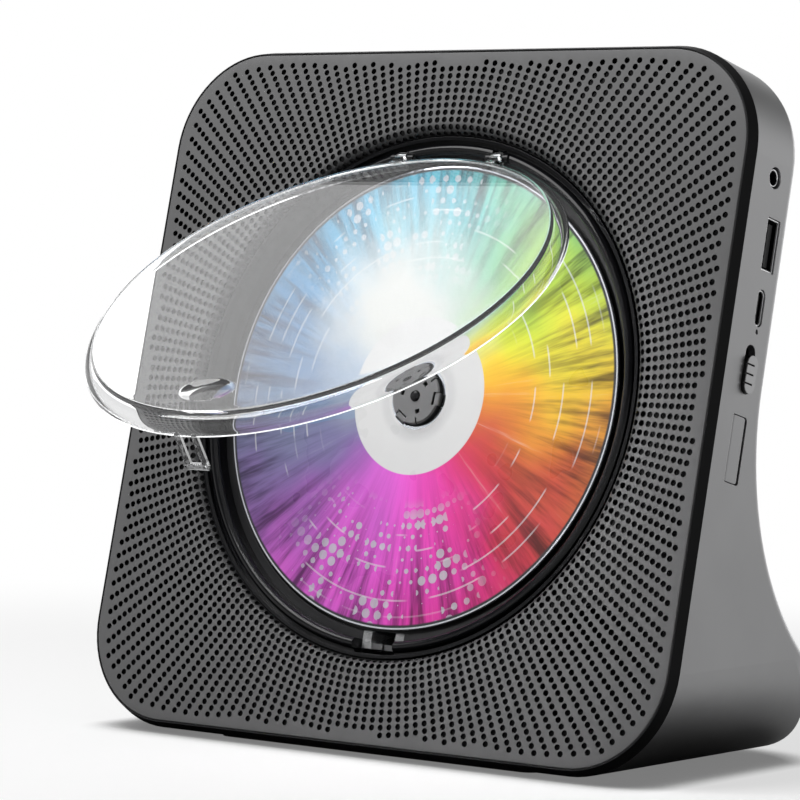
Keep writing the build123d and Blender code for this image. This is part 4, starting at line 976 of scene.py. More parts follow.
# ---- the perforated front --------------------------------------------------------------------------------
@dataclass
class Grille:
    """Pressed front sheet whose holes lie on rings and spokes, and run over its rolled collar."""

    face: FaceFrame
    half: float = 89.65
    corner: float = 25.5
    sheet: float = 0.8
    lip: float = 1.8
    fold: float = 0.35
    collar: float = 68.0
    roll: float = 3.0
    collar_end: float = 4.2
    spokes: int = 200
    ring_pitch: float = 1.934
    rings: int = 27
    hole: float = 0.79
    margin: float = 2.7
    inner_row: float = 65.96
    hole_steps: int = 12
    fold_steps: int = 4
    outline_steps: tuple[int, int] = (16, 48)   # along a corner, and along a straight side
    stock: Stock = field(default_factory=Stock)
    kept: set[tuple[int, int]] = field(default_factory=set)
    key: dict[tuple[int, int], int] = field(default_factory=dict)

    def on_sheet(self, reach: float) -> tuple[float, float]:
        """Follow the sheet over the collar.

        Args:
            reach: Distance along the sheet from the middle.

        Returns:
            Radius and height of the place.
        """
        flat = self.collar + self.roll
        if reach >= flat:
            return reach, 0.0
        turn = (flat - reach) / self.roll
        if turn < math.pi / 2:
            return flat - self.roll * math.sin(turn), self.roll * (math.cos(turn) - 1)
        return self.collar, -min(self.roll + (turn - math.pi / 2) * self.roll, self.collar_end)

    def inside(self, x: float, y: float, inset: float) -> bool:
        """Tell whether a place lies within the sheet's outline.

        Args:
            x: Place along X.
            y: Place along Y.
            inset: Margin kept along the outline.

        Returns:
            True inside the margin.
        """
        half, corner = self.half - inset, max(self.corner - inset, 0.1)
        along, up = abs(x) - (half - corner), abs(y) - (half - corner)
        if along > 0 and up > 0:
            return math.hypot(along, up) < corner
        return max(abs(x), abs(y)) < half

    def lattice(self, spoke: int, ring: int) -> int:
        """Find or lay a point on the borders of the cells.

        Args:
            spoke: Thirds of a spoke.
            ring: Thirds of a ring.

        Returns:
            The point's number.
        """
        spoke %= 3 * self.spokes
        if (spoke, ring) not in self.key:
            angle = 2 * math.pi * (spoke - 1.5) / (3 * self.spokes)
            radius, height = self.on_sheet(self.inner_row + self.ring_pitch * (ring / 3 - 0.5))
            self.key[(spoke, ring)] = len(self.stock.points)
            self.stock.points.append((radius * math.cos(angle), radius * math.sin(angle), height))
        return self.key[(spoke, ring)]

    def border_of(self, spoke: int, ring: int) -> list[int]:
        """Walk round one cell.

        Args:
            spoke: The cell's spoke.
            ring: The cell's ring.

        Returns:
            Its twelve border points.
        """
        a, b = 3 * spoke, 3 * ring
        places = [(a + i, b) for i in range(3)] + [(a + 3, b + i) for i in range(3)]
        places += [(a + 3 - i, b + 3) for i in range(3)] + [(a, b + 3 - i) for i in range(3)]
        return [self.lattice(*place) for place in places]

    def cell(self, spoke: int, ring: int) -> None:
        """Lay one cell with its round hole.

        Args:
            spoke: The cell's spoke.
            ring: The cell's ring.
        """
        outer = self.border_of(spoke, ring)
        reach = self.inner_row + self.ring_pitch * ring
        radius, _ = self.on_sheet(reach)
        middle = 2 * math.pi * spoke / self.spokes
        start = len(self.stock.points)
        for i in range(self.hole_steps):
            angle = math.radians(225 + 360 / self.hole_steps * i)
            r, z = self.on_sheet(reach + self.hole * math.sin(angle))
            turn = middle + self.hole * math.cos(angle) / radius
            self.stock.points.append((r * math.cos(turn), r * math.sin(turn), z))
        for i in range(self.hole_steps):
            j = (i + 1) % self.hole_steps
            self.stock.faces.append((outer[i], outer[j], start + j, start + i))

    def build(self, paint: bpy.types.Material, walls: bpy.types.Material) -> None:
        """Build the sheet with its holes, rolled collar and folded lip.

        Args:
            paint: Its finish.
            walls: Finish of the holes' walls, black as painted shade in the holes.
        """
        for ring in range(self.rings + 1):
            reach = self.inner_row + self.ring_pitch * ring
            for spoke in range(self.spokes):
                angle = 2 * math.pi * spoke / self.spokes
                if self.inside(reach * math.cos(angle), reach * math.sin(angle), self.margin):
                    self.kept.add((spoke, ring))
                    self.cell(spoke, ring)
        self.folded_lip(self.plain_margin())
        piece = self.stock.object("grille_sheet", self.face.matrix)
        self.crisp_borders(piece.data)
        skin = piece.modifiers.new("sheet", "SOLIDIFY")
        skin.thickness, skin.offset, skin.use_rim = self.sheet * MM, -1.0, True
        # the rims, the holes' walls among them, take the second, black finish: painted shade
        skin.material_offset_rim = 1
        declare(piece, paint, Body.PLAYER, Slot.GRILLE, "speaker_grille")
        piece.data.materials.append(walls)

    def crisp_borders(self, mesh: bpy.types.Mesh) -> None:
        """Mark the rims of the holes as crisp edges.

        Args:
            mesh: The sheet's mesh.
        """
        built = bmesh.new()
        built.from_mesh(mesh)
        for edge in built.edges:
            if edge.is_boundary:
                edge.smooth = False
        built.to_mesh(mesh)
        built.free()

    def plain_margin(self) -> list[int]:
        """Fill the plain margin between the outermost cells and the outline.

        Returns:
            The outline's points.
        """
        edges: dict[tuple[int, int], int] = {}
        for spoke, ring in self.kept:
            loop = self.border_of(spoke, ring)
            for first, second in zip(loop, loop[1:] + loop[:1]):
                pair = (min(first, second), max(first, second))
                edges[pair] = edges.get(pair, 0) + 1
        flat = self.collar + self.roll
        jagged = [pair for pair, count in edges.items()
                  if count == 1 and all(math.hypot(*self.stock.points[end][:2]) > flat for end in pair)]
        start = len(self.stock.points)
        self.stock.points.extend((x, y, 0.0) for x, y in self.outline(self.fold))
        rim = list(range(start, len(self.stock.points)))
        everything = sorted({index for pair in jagged for index in pair}) + rim
        local = {index: i for i, index in enumerate(everything)}
        flat_points = [Vector(self.stock.points[index][:2]) for index in everything]
        walls = [(local[a], local[b]) for a, b in jagged]
        walls += [(local[a], local[b]) for a, b in zip(rim, rim[1:] + rim[:1])]
        for face in delaunay_2d_cdt(flat_points, walls, [], 0, 1e-5)[2]:
            centre = middle_of(flat_points, face)
            if self.inside(centre.x, centre.y, 0.0) and not self.covered(centre):
                self.stock.faces.append(tuple(everything[i] for i in face))
        return rim

    def outline(self, inset: float) -> list[tuple[float, float]]:
        """Return the sheet's outline, inset by a distance."""
        return rounded_square(self.half - inset, self.corner - inset, *self.outline_steps)

    def covered(self, centre: Vector) -> bool:
        """Tell whether a place lies in one of the laid cells or in the disc well.

        Args:
            centre: The place.

        Returns:
            True where the margin must stay open.
        """
        spoke = round(math.atan2(centre.y, centre.x) / (2 * math.pi) * self.spokes) % self.spokes
        ring = round((centre.length - self.inner_row) / self.ring_pitch)
        return ring < 0 or (spoke, ring) in self.kept

    def folded_lip(self, rim: list[int]) -> None:
        """Fold the sheet's edge back on a small radius.

        Args:
            rim: The outline's points.
        """
        rows = []
        for i in range(1, self.fold_steps + 1):
            angle = math.pi / 2 * i / self.fold_steps
            inset, height = self.fold * (1 - math.sin(angle)), self.fold * (math.cos(angle) - 1)
            rows.append([(x, y, height) for x, y in self.outline(inset)])
        rows.append([(x, y, -self.lip) for x, y in self.outline(0.0)])
        below = rim
        for row in rows:
            start = len(self.stock.points)
            self.stock.points.extend(row)
            above = list(range(start, start + len(row)))
            for i in range(len(row)):
                j = (i + 1) % len(row)
                self.stock.faces.append((below[i], below[j], above[j], above[i]))
            below = above


# ---- the lid ---------------------------------------------------------------------------------------------
@dataclass
class Lid:
    """Clear lid in one moulding: window with a thumb dimple, bellied skirt, hinge ears and snap hook."""

    face: FaceFrame
    top: float = -0.6
    under: float = -2.1
    flat: float = 57.0
    crown: float = 58.6
    rounding: float = 1.0
    belly: tuple[float, float] = (61.55, -2.9)
    hem: tuple[float, float] = (62.4, -5.8)
    wall: float = 1.1
    dimple: tuple[float, float, float, float] = (-50.0, 7.5, 5.0, 0.9)      # Y, half length and width, depth
    hinge: tuple[float, float] = (62.0, -2.6)
    ear: tuple[float, float, float] = (15.0, 2.8, 1.6)                      # X, width, end radius
    web: tuple[float, float, float] = (4.4, 0.3, 3.1)                       # length above, fall, length below
    pin: float = 0.8
    hook: tuple[float, float, float, float] = (6.8, 1.5, 1.0, 9.6)          # width, arm, thickness, length
    hook_out: float = -62.1
    barb: float = 0.6
    root: float = 0.4
    notch: tuple[float, float] = (40.0, 80.0)                               # Y from and to
    rim_steps: int = 256
    rounding_steps: int = 8
    side_steps: int = 10
    dimple_steps: int = 96
    bore_steps: int = 24
    ear_steps: int = 16
    dimple_bend: tuple[float, float, float] = (0.95, 1.05, 3.0)             # shares from and to, power
    dimple_rows: tuple[float, ...] = (*(0.08 * i for i in range(1, 12)), 0.92, 0.95, 0.975, 1.0, 1.025, 1.05,
                                      1.12)

    def build(self, clear: bpy.types.Material) -> None:
        """Build the lid and swing it open.

        Args:
            clear: Its finish.
        """
        joined = Stock()
        for side in (-1, 1):
            self.ear_at(joined, side * self.ear[0])
        self.snap_hook(joined)
        mesh = carved("lid_moulding", self.shell(), joined, self.openings())
        piece = put_in_scene("lid_moulding", mesh, self.face.lid, 30.0)
        declare(piece, clear, Body.LID, Slot.LID, "dust_cover", "lid_skirt", "lid_hook")

    def shell(self) -> Stock:
        """Lay the window, its dimple and the skirt.

        Returns:
            One closed solid.
        """
        shoulder, steps = self.crown + self.rounding, self.rounding_steps
        profile = [(self.flat, self.top)]
        for i in range(steps + 1):
            turn = math.pi / 2 * i / steps
            profile.append((self.crown + self.rounding * math.sin(turn),
                            self.top - self.rounding * (1 - math.cos(turn))))
        profile += arc_through((shoulder, self.top - self.rounding), self.belly, self.hem,
                               self.side_steps)[1:]
        inner = [(r - self.wall, z) for r, z in (self.hem, self.belly, (shoulder, self.under))]
        profile += arc_through(*inner, self.side_steps)
        profile.append((self.flat, self.under))
        stock = Stock()
        stock.turned(profile, self.rim_steps, closed=False)
        rim = [(self.flat * x, self.flat * y) for x, y in circle(self.rim_steps)]
        stock.cap([(x, y, self.under) for x, y in rim])
        self.window(stock, rim)
        return stock

    def dimple_height(self, reach: float) -> float:
        """Give the hollow's height at a share of its half sizes, blended into the flat at its edge.

        Args:
            reach: The share.

        Returns:
            The height below the flat.
        """
        deep, (bend, end, power) = self.dimple[3], self.dimple_bend
        if reach <= bend:
            return -deep * (1 - reach ** power)
        return -deep * (1 - bend ** power) * ((end - reach) / (end - bend)) ** 2 if reach < end else 0.0

    def window(self, stock: Stock, rim: Sequence[tuple[float, float]]) -> None:
        """Lay the window's outer face with its dimple.

        Args:
            stock: The lid's stock.
            rim: The window's edge.
        """
        place, long, short, _ = self.dimple
        rows, steps = [], self.dimple_steps
        for share in self.dimple_rows:
            height = self.top + self.dimple_height(share)
            rows.append([(long * share * x, place + short * share * y, height) for x, y in circle(steps)])
        stock.rows(rows, round_u=True)
        stock.cap(rows[0])
        edge = [(x, y) for x, y, _ in rows[-1]]
        flat_points = [Vector(point) for point in list(rim) + edge]
        walls = [(i, (i + 1) % len(rim)) for i in range(len(rim))]
        walls += [(len(rim) + i, len(rim) + (i + 1) % steps) for i in range(steps)]
        points, _, faces = delaunay_2d_cdt(flat_points, walls, [], 0, 1e-6)[:3]
        start, limit = len(stock.points), self.dimple_rows[-1] * 0.99
        stock.points.extend((point.x, point.y, self.top) for point in points)
        for face in faces:
            centre = middle_of(points, face)
            if math.hypot(centre.x / long, (centre.y - place) / short) > limit:
                stock.faces.append(tuple(start + i for i in face))

    def ear_at(self, stock: Stock, x: float) -> None:
        """Lay one hinge ear with its web.

        Args:
            stock: Where it goes.
            x: Its middle.
        """
        (y, z), (_, width, radius) = self.hinge, self.ear
        above, fall, below = self.web
        outline = [(y - above, z + radius - fall), (y, z + radius)]
        for i in range(1, self.ear_steps):
            turn = math.pi / 2 - math.pi * i / self.ear_steps
            outline.append((y + radius * math.cos(turn), z + radius * math.sin(turn)))
        outline += [(y, z - radius), (y - below, z - radius)]
        stock.prism([(x - width / 2, y, z) for y, z in outline], (width, 0, 0))

    def snap_hook(self, stock: Stock) -> None:
        """Lay the two arms, the bridge between them and the barb.

        Args:
            stock: Where they go.
        """
        wide, arm, thick, long = self.hook
        half, low, high = wide / 2, self.hem[1] - long, self.hem[1] + self.root
        out, window = self.hook_out, wide / 2 - arm
        ring = [(-half, high), (-half, low), (half, low), (half, high), (window, high),
                (window, low + arm), (-window, low + arm), (-window, high)]
        stock.prism([(x, out, z) for x, z in ring], (0, thick, 0))
        barb = [(out + 0.1, low + arm), (out - self.barb, low + arm), (out + 0.1, low)]
        stock.prism([(-half, y, z) for y, z in barb], (wide, 0, 0))

    def openings(self) -> Stock:
        """Lay the cutters for the pin bores and the notch in the hem.

        Returns:
            The cutters.
        """
        cut = Stock()
        (y, z), (x, width, _) = self.hinge, self.ear
        for side in (-1, 1):
            bore = [(side * x - width, y + self.pin * a, z + self.pin * b)
                    for a, b in circle(self.bore_steps)]
            cut.prism(bore, (2 * width, 0, 0))
        wide, (near, far) = x - width / 2, self.notch
        cut.block((-wide, near, self.hem[1] - 1), (wide, far, self.hem[1] + 2))
        return cut


# ---- the disc --------------------------------------------------------------------------------------------
@dataclass
class Disc:
    """Disc blank with rounded edges and its printed layer."""

    face: FaceFrame
    radius: float = 60.0
    hole: float = 7.5
    top: float = 4.9
    thick: float = 1.2
    print_in: float = 8.4
    print_out: float = 59.4
    ink: float = 0.05
    edge: float = 0.18
    groove: tuple[float, float, float] = (16.4, 17.4, 0.12)                 # radius from and to, depth
    steps: int = 256

    def build(self, printed: bpy.types.Material, silvered: bpy.types.Material) -> None:
        """Build both layers.

        Args:
            printed: Finish of the printed layer.
            silvered: Finish of the blank.
        """
        edge, top, low, face = self.edge, -self.top - self.ink, -self.top - self.thick, -self.top
        near, far, deep = self.groove
        outline = [(self.hole, top - edge), (self.hole + edge, top), (self.print_in, top),
                   (self.radius - edge, top), (self.radius, top - edge), (self.radius, low + edge),
                   (self.radius - edge, low), (far + deep, low), (far, low + deep), (near, low + deep),
                   (near - deep, low), (self.hole + edge, low), (self.hole, low + edge)]
        slope = self.ink / 2
        layer = [(self.print_in, top), (self.print_in + slope, face), (self.print_out - slope, face),
                 (self.print_out, top)]
        for name, profile, finish in (("disc_blank", outline, silvered), ("disc_print", layer, printed)):
            stock = Stock()
            stock.turned(profile, self.steps)
            piece = stock.object(name, self.face.matrix)
            declare(piece, finish, Body.SPINDLE, Slot.DISC, "compact_disc")


# ---- small parts -----------------------------------------------------------------------------------------
@dataclass
class HousingScrews:
    """Four pan screws with cross recesses: two through the back and two through the underside."""

    face: FaceFrame
    shaft: float = 1.2
    head: float = 2.6
    thick: float = 1.4
    upper: tuple[float, float, float, float] = (55.0, 76.0, 23.0, 18.2)     # X, Y, depth of the head, length
    lower: tuple[float, float, float] = (57.0, 7.4, 5.5)                    # X, way back, length
    edge_y: float = -91.15
    edge_z: float = -3.0
    lean: float = 13.0
    edge: float = 0.35
    thread: tuple[float, float, float] = (0.7, 0.22, 0.8)                   # pitch, depth, plain ends
    point: tuple[float, float] = (0.5, 0.6)                                 # radius, length
    recess: tuple[float, float, float] = (1.45, 0.26, 0.85)                 # half length, half width, depth
    core: float = 0.01
    steps: int = 32

    def build(self, steel: bpy.types.Material) -> None:
        """Build the four screws as one piece.

        Args:
            steel: Their finish.
        """
        stock, cut = Stock(), Stock()
        x, y, deep, long = self.upper
        turn = math.radians(self.lean)
        low_x, back, low_long = self.lower
        up = Vector((0, math.cos(turn), math.sin(turn)))
        floor = Vector((0, self.edge_y + math.sin(turn) * back, self.edge_z - math.cos(turn) * back))
        for side in (-1, 1):
            self.screw(stock, cut, Vector((side * x, y, -deep)), Vector((0, 0, 1)), long)
            self.screw(stock, cut, floor + Vector((side * low_x, 0, 0)), up, low_long)
        piece = put_in_scene("cross_screws", carved("cross_screws", stock, None, cut), self.face.matrix)
        declare(piece, steel, Body.PLAYER, Slot.SCREW, "housing_screws")

    def screw(self, stock: Stock, cut: Stock, foot: Vector, inwards: Vector, long: float) -> None:
        """Lay one screw and the cutter of its recess.

        Args:
            stock: Where the screw goes.
            cut: Where the cutter goes.
            foot: Middle of the head's outer face.
            inwards: Direction into the housing.
            long: Whole length.
        """
        turn = inwards.to_track_quat("Z", "Y").to_matrix().to_4x4()
        place = Matrix.Translation(foot) @ turn
        head, edge = self.head, self.edge
        outline = [(self.core, 0.0), (head - 2 * edge, 0.0), (head - edge / 2, edge / 2), (head, edge),
                   (head, self.thick), (self.shaft, self.thick)]
        pitch, depth, plain = self.thread
        root, z = self.shaft - depth, self.thick + plain
        while z + pitch < long - plain:
            outline += [(root, z), (self.shaft, z + pitch / 2), (root, z + pitch)]
            z += pitch
        tip, taper = self.point
        outline += [(root, long - taper), (tip, long), (self.core, long)]
        body, tool = Stock(), Stock()
        body.turned(outline, self.steps)
        far, near, deep = self.recess
        arm = [(far, -near), (far, near), (near, near)]
        quarters = ((1, 0), (0, 1), (-1, 0), (0, -1))
        cross = [(x * c - y * s, x * s + y * c, -1.0) for c, s in quarters for x, y in arm]
        tool.prism(cross, (0.0, 0.0, deep + 1.0))
        self.add_placed(cut, tool, place)
        self.add_placed(stock, body, place)

    def add_placed(self, stock: Stock, part: Stock, place: Matrix) -> None:
        """Add a part's points and faces at a place.

        Args:
            stock: Where they go.
            part: The part.
            place: Matrix for its points.
        """
        start = len(stock.points)
        stock.points += [(place @ Vector(point))[:] for point in part.points]
        stock.faces += [tuple(start + i for i in face) for face in part.faces]


def reshaped(name: str, node: bpy.types.Object, face: FaceFrame,
             move: Callable[[Vector], Vector]) -> bpy.types.Object:
    """Make a new piece from a node's mesh, with its points moved in the face frame.

    Args:
        name: The piece's name.
        node: The node.
        face: The frame.
        move: Gives a point's new place.

    Returns:
        The new piece.
    """
    mesh = node.data.copy()
    back = face.matrix.inverted()
    for vertex in mesh.vertices:
        vertex.co = face.matrix @ move(back @ vertex.co)
    mesh.update()
    return linked(name, mesh)


@dataclass
class Latch:
    """Clear guides and the stepped catch between them, sunk below the ring's bead."""

    face: FaceFrame
    guide_front: float = -6.1
    catch_front: float = -6.2
    catch_step: float = -7.0
    first_step: float = -4.8
    lowest: float = -65.0

    def build(self, nodes: dict[str, bpy.types.Object], clear: bpy.types.Material,
              grey: bpy.types.Material) -> None:
        """Build the guides and the catch.

        Args:
            nodes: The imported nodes.
            clear: Finish of the guides.
            grey: Finish of the catch.
        """
        guides = reshaped("latch_guide_blocks", nodes["latch_guides"], self.face, self.sunk_guide)
        catch = reshaped("latch_catch", nodes["latch_shuttle"], self.face, self.sunk_catch)
        for piece, finish, body, node in ((guides, clear, Body.PLAYER, "latch_guides"),
                                          (catch, grey, Body.CATCH, "latch_shuttle")):
            declare(piece, finish, body, Slot.LID if node == "latch_guides" else Slot.CATCH, node)

    def sunk_guide(self, point: Vector) -> Vector:
        """Return a guide's point, inside the guides' common front and lower edge."""
        return Vector((point.x, max(point.y, self.lowest), min(point.z, self.guide_front)))

    def sunk_catch(self, point: Vector) -> Vector:
        """Return a catch's point, with both steps of its front let down and above its lower edge."""
        height = self.catch_front if point.z > self.first_step else min(point.z, self.catch_step)
        return Vector((point.x, max(point.y, self.lowest), height))


@dataclass
class CardFlap:
    """Flap over the card slot, with a wider gap along its deep side."""

    face: FaceFrame
    deep_side: float = -15.0
    gap: float = 0.9

    def build(self, node: bpy.types.Object, finish: bpy.types.Material) -> None:
        """Build the flap.

        Args:
            node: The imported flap.
            finish: Its finish.
        """
        piece = reshaped("card_flap_cover", node, self.face, self.narrowed)
        declare(piece, finish, Body.FLAP, Slot.HOUSING, "card_flap")

    def narrowed(self, point: Vector) -> Vector:
        """Return a flap's point, drawn in from the deep side."""
        return point + Vector((0, 0, self.gap if point.z < self.deep_side else 0.0))


@dataclass
class SwitchKnob:
    """Knob of the slide switch, with three grooves across its front half."""

    face: FaceFrame
    middle: tuple[float, float] = (11.1, -13.25)
    long: float = 9.4
    high: float = 4.4
    corner: float = 2.1
    foot: float = 89.15
    top: float = 92.25
    stem: tuple[float, float, float] = (85.85, 1.5, 1.4)      # foot, half length, half height
    pitch: float = 2.35
    groove: tuple[float, float] = (0.42, 0.5)               # width, depth
    reach: float = 1.0
    softness: float = 0.12

    def build(self, finish: bpy.types.Material) -> None:
        """Build the knob.

        Args:
            finish: Its finish.
        """
        y, z = self.middle
        slack = (self.long - self.high) / 2
        outline = [(self.foot, y + b + math.copysign(slack, b), z + a)
                   for a, b in rounded_square(self.high / 2, self.corner, 8)]
        knob, stem, cut = Stock(), Stock(), Stock()
        knob.prism(outline, (self.top - self.foot, 0.0, 0.0))
        low, long_way, deep_way = self.stem
        stem.block((low, y - long_way, z - deep_way), (self.foot + 0.5, y + long_way, z + deep_way))
        width, depth = self.groove
        for i in (-1, 0, 1):
            at = y + i * self.pitch
            cut.block((self.top - depth, at - width / 2, z - self.reach),
                      (self.top + 1, at + width / 2, z + self.high))
        piece = put_in_scene("switch_knob", carved("switch_knob", knob, stem, cut), self.face.matrix)
        soften = piece.modifiers.new("edges", "BEVEL")
        soften.width, soften.segments, soften.limit_method = self.softness * MM, 2, "ANGLE"
        declare(piece, finish, Body.KNOB, Slot.CATCH, "power_switch_knob")


@dataclass
class JackRing:
    """Turned ring round the mouth of the headphone socket."""

    face: FaceFrame
    middle: Point = (90.15, 60.1, -12.8)
    bore: float = 1.8
    outer: float = 2.2
    proud: float = 0.45
    foot: float = 0.02
    edge: float = 0.12
    steps: int = 64

    def build(self, plated: bpy.types.Material) -> None:
        """Build the ring.

        Args:
            plated: Its finish.
        """
        side = self.proud - self.edge
        stock = Stock()
        stock.turned([(self.bore, self.foot), (self.outer, self.foot), (self.outer, side),
                      (self.outer - self.edge, self.proud), (self.bore + self.edge, self.proud),
                      (self.bore, side)], self.steps)
        place = Matrix.Translation(Vector(self.middle)) @ Matrix.Rotation(math.pi / 2, 4, "Y")
        piece = stock.object("jack_ring", self.face.matrix @ place)
        declare(piece, plated, Body.PLAYER, Slot.CONTACT)


@dataclass
class ContactStrips:
    """Plated contact strips on the tongues of the two side sockets."""

    face: FaceFrame
    thick: float = 0.08
    rows: tuple[tuple[float, float, float, int, float, float, float], ...] = (
        (43.75, -15.0, 2.5, 4, 1.2, 78.5, 89.6),    # Y, tongue's height, pitch, count, width, X from and to
        (27.9, -14.25, 0.62, 8, 0.3, 83.5, 89.9),
    )

    def build(self, plated: bpy.types.Material) -> None:
        """Lay the strips on the tongues.

        Args:
            plated: Their finish.
        """
        stock = Stock()
        for y, top, pitch, count, wide, x0, x1 in self.rows:
            for i in range(count):
                middle = y + pitch * (i - (count - 1) / 2)
                stock.block((x0, middle - wide / 2, top), (x1, middle + wide / 2, top + self.thick))
        piece = stock.object("contact_strips", self.face.matrix)
        declare(piece, plated, Body.PLAYER, Slot.CONTACT)


# ---- the studio ------------------------------------------------------------------------------------------
@dataclass(frozen=True)
class Softbox:
    """Area lamp aimed at a point."""

    name: str
    place: Point
    aim: Point
    size: float
    watts: float
    tall: float = 0.0

    def build(self) -> None:
        """Hang the lamp."""
        data = bpy.data.lights.new(self.name, "AREA")
        data.shape, data.size, data.energy = "RECTANGLE", self.size, self.watts
        data.size_y = self.tall or self.size
        lamp = linked(self.name, data)
        lamp.location = self.place
        lamp.rotation_euler = (Vector(self.aim) - Vector(self.place)).to_track_quat("-Z", "Y").to_euler()


@dataclass
class Studio:
    """Seamless white floor and surroundings, soft lamps and the camera."""

    azimuth: float = 36.96766
    elevation: float = 2.25389
    roll: float = 1.2352
    distance: float = 0.96061
    target: Point = (-0.0014785, 0.0073807, 0.0889085)
    lens: float = 170.549
    fill: float = 0.11
    ceiling: tuple[float, float, float, float] = (0.10, 0.50, 1.0, 0.06)
    paper: float = 0.9
    speckle: float = 0.005
    dim_paper: float = 0.06
    painted_shadow_in_gloss: float = 0.02
    shadow: float = 0.36
    contact: float = 0.012
    foot_shade: tuple[float, float, float, float] = (0.45, 0.98, 0.30, 1.0)
    near: float = 0.25
    far: float = 0.5
    gloss_near: float = 0.08
    gloss_far: float = 0.17
    gloss_share: float = 0.8
    reach: float = 12.0
    lamps: tuple[Softbox, ...] = (
        Softbox("key_front", (-0.3, -0.38, 0.70), (0.0, 0.0, 0.1), 0.5, 5.8),
        Softbox("side_box", (0.85, 0.85, 0.45), (0.05, 0.0, 0.1), 1.3, 0.8, 0.9),
        Softbox("back_low", (-0.05, 1.3, 0.22), (0.0, 0.0, 0.1), 0.9, 1.5, 0.4),
        Softbox("back_left", (-0.75, 1.0, 0.3), (0.0, 0.0, 0.1), 1.3, 1.5, 0.6),
        Softbox("lid_veil", (-0.92, 0.48, 1.24), (0.0, 0.0, 0.14), 1.2, 3.5),
    )

    def build(self) -> None:
        """Set the whole studio up."""
        bpy.context.scene.view_settings.view_transform = "Standard"
        self.camera()
        self.world()
        self.floor()
        for lamp in self.lamps:
            lamp.build()
        LOG.info("studio: %d lamps", len(self.lamps))

    def camera(self) -> None:
        """Place the camera on its line of sight."""
        azimuth, elevation = math.radians(self.azimuth), math.radians(self.elevation)
        back = Vector((math.sin(azimuth) * math.cos(elevation), -math.cos(azimuth) * math.cos(elevation),
                       math.sin(elevation)))
        data = bpy.data.cameras.new("camera")
        data.lens, data.sensor_width = self.lens, 36.0
        data.clip_start, data.clip_end = 0.05, 50.0
        camera = linked("camera", data)
        tilt = Matrix.Rotation(math.radians(self.roll), 4, "Z")
        turn = (-back).to_track_quat("-Z", "Y").to_matrix().to_4x4() @ tilt
        camera.matrix_world = Matrix.Translation(Vector(self.target) + back * self.distance) @ turn
        bpy.context.scene.camera = camera

    def world(self) -> None:
        """White to the eye and through clear plastic, with a dark ceiling in metal and a dim fill."""
        graph = Graph("surroundings", world=True)
        path = graph.add("LightPath").outputs
        direct = graph.math("MAXIMUM", path["Is Camera Ray"], path["Is Transmission Ray"])
        seen = graph.add("MapRange", {"Value": direct, "To Min": self.fill}).outputs[0]
        up = graph.add("SeparateXYZ", {0: graph.add("TexCoord").outputs["Generated"]}).outputs["Z"]
        mirrored = graph.math("MULTIPLY", path["Is Glossy Ray"], graph.smooth(up, *self.ceiling))
        strength = graph.math("MAXIMUM", seen, mirrored)
        bpy.context.scene.world = graph.close(graph.add("Background", {"Color": WHITE, "Strength": strength}))

    def floor(self) -> None:
        """Lay a pale floor that keeps the player's shadow, adds painted shadow at its foot and in reflections
        near it, and fades into the surroundings.
        """
        graph = Graph("floor_white")
        point = graph.row_point()
        split = graph.add("SeparateXYZ", {0: point})
        distance = graph.length(split.outputs[0], split.outputs[1])
        away = graph.smooth(distance, self.near, self.far, 1.0 - self.shadow)
        speck = graph.noise(point, 30.0, 2.0)
        low, high = (self.paper - self.speckle,) * 3, (self.paper + self.speckle,) * 3
        # painted contact shadow: the floor darkens towards black where the player's foot closes it in
        open_way = graph.add("AmbientOcclusion", {"Distance": self.contact}, samples=8).outputs["AO"]
        painted_contact_shade = graph.smooth(open_way, *self.foot_shade)
        paper = graph.add("BsdfDiffuse", {"Color": graph.mix(painted_contact_shade, BLACK, graph.mix(speck, low, high))})
        glow = graph.add("Emission", {"Color": graph.mix(painted_contact_shade, BLACK, WHITE), "Strength": 1.0})
        tones = (self.dim_paper, self.painted_shadow_in_gloss)
        dim, dark = (graph.add("BsdfDiffuse", {"Color": (tone,) * 3}) for tone in tones)
        path = graph.add("LightPath").outputs
        # painted shadow in reflections: glossy rays see the floor dark near the player, brightening with
        # distance
        distant = graph.smooth(distance, self.gloss_near, self.gloss_far, 0.0, self.gloss_share)
        seen = graph.blend(away, paper, glow)
        mirrored = graph.blend(distant, dark, glow)
        sharp = graph.blend(path["Is Glossy Ray"], seen, mirrored)
        white = graph.close(graph.blend(path["Is Diffuse Ray"], sharp, dim))
        white.cycles.emission_sampling = "NONE"
        mesh = bpy.data.meshes.new("floor")
        corners = ((-1, -1), (1, -1), (1, 1), (-1, 1))
        mesh.from_pydata([(self.reach * x, self.reach * y, 0) for x, y in corners], [], [(0, 1, 2, 3)])
        floor = linked("floor", mesh)
        finish_with(floor, white)


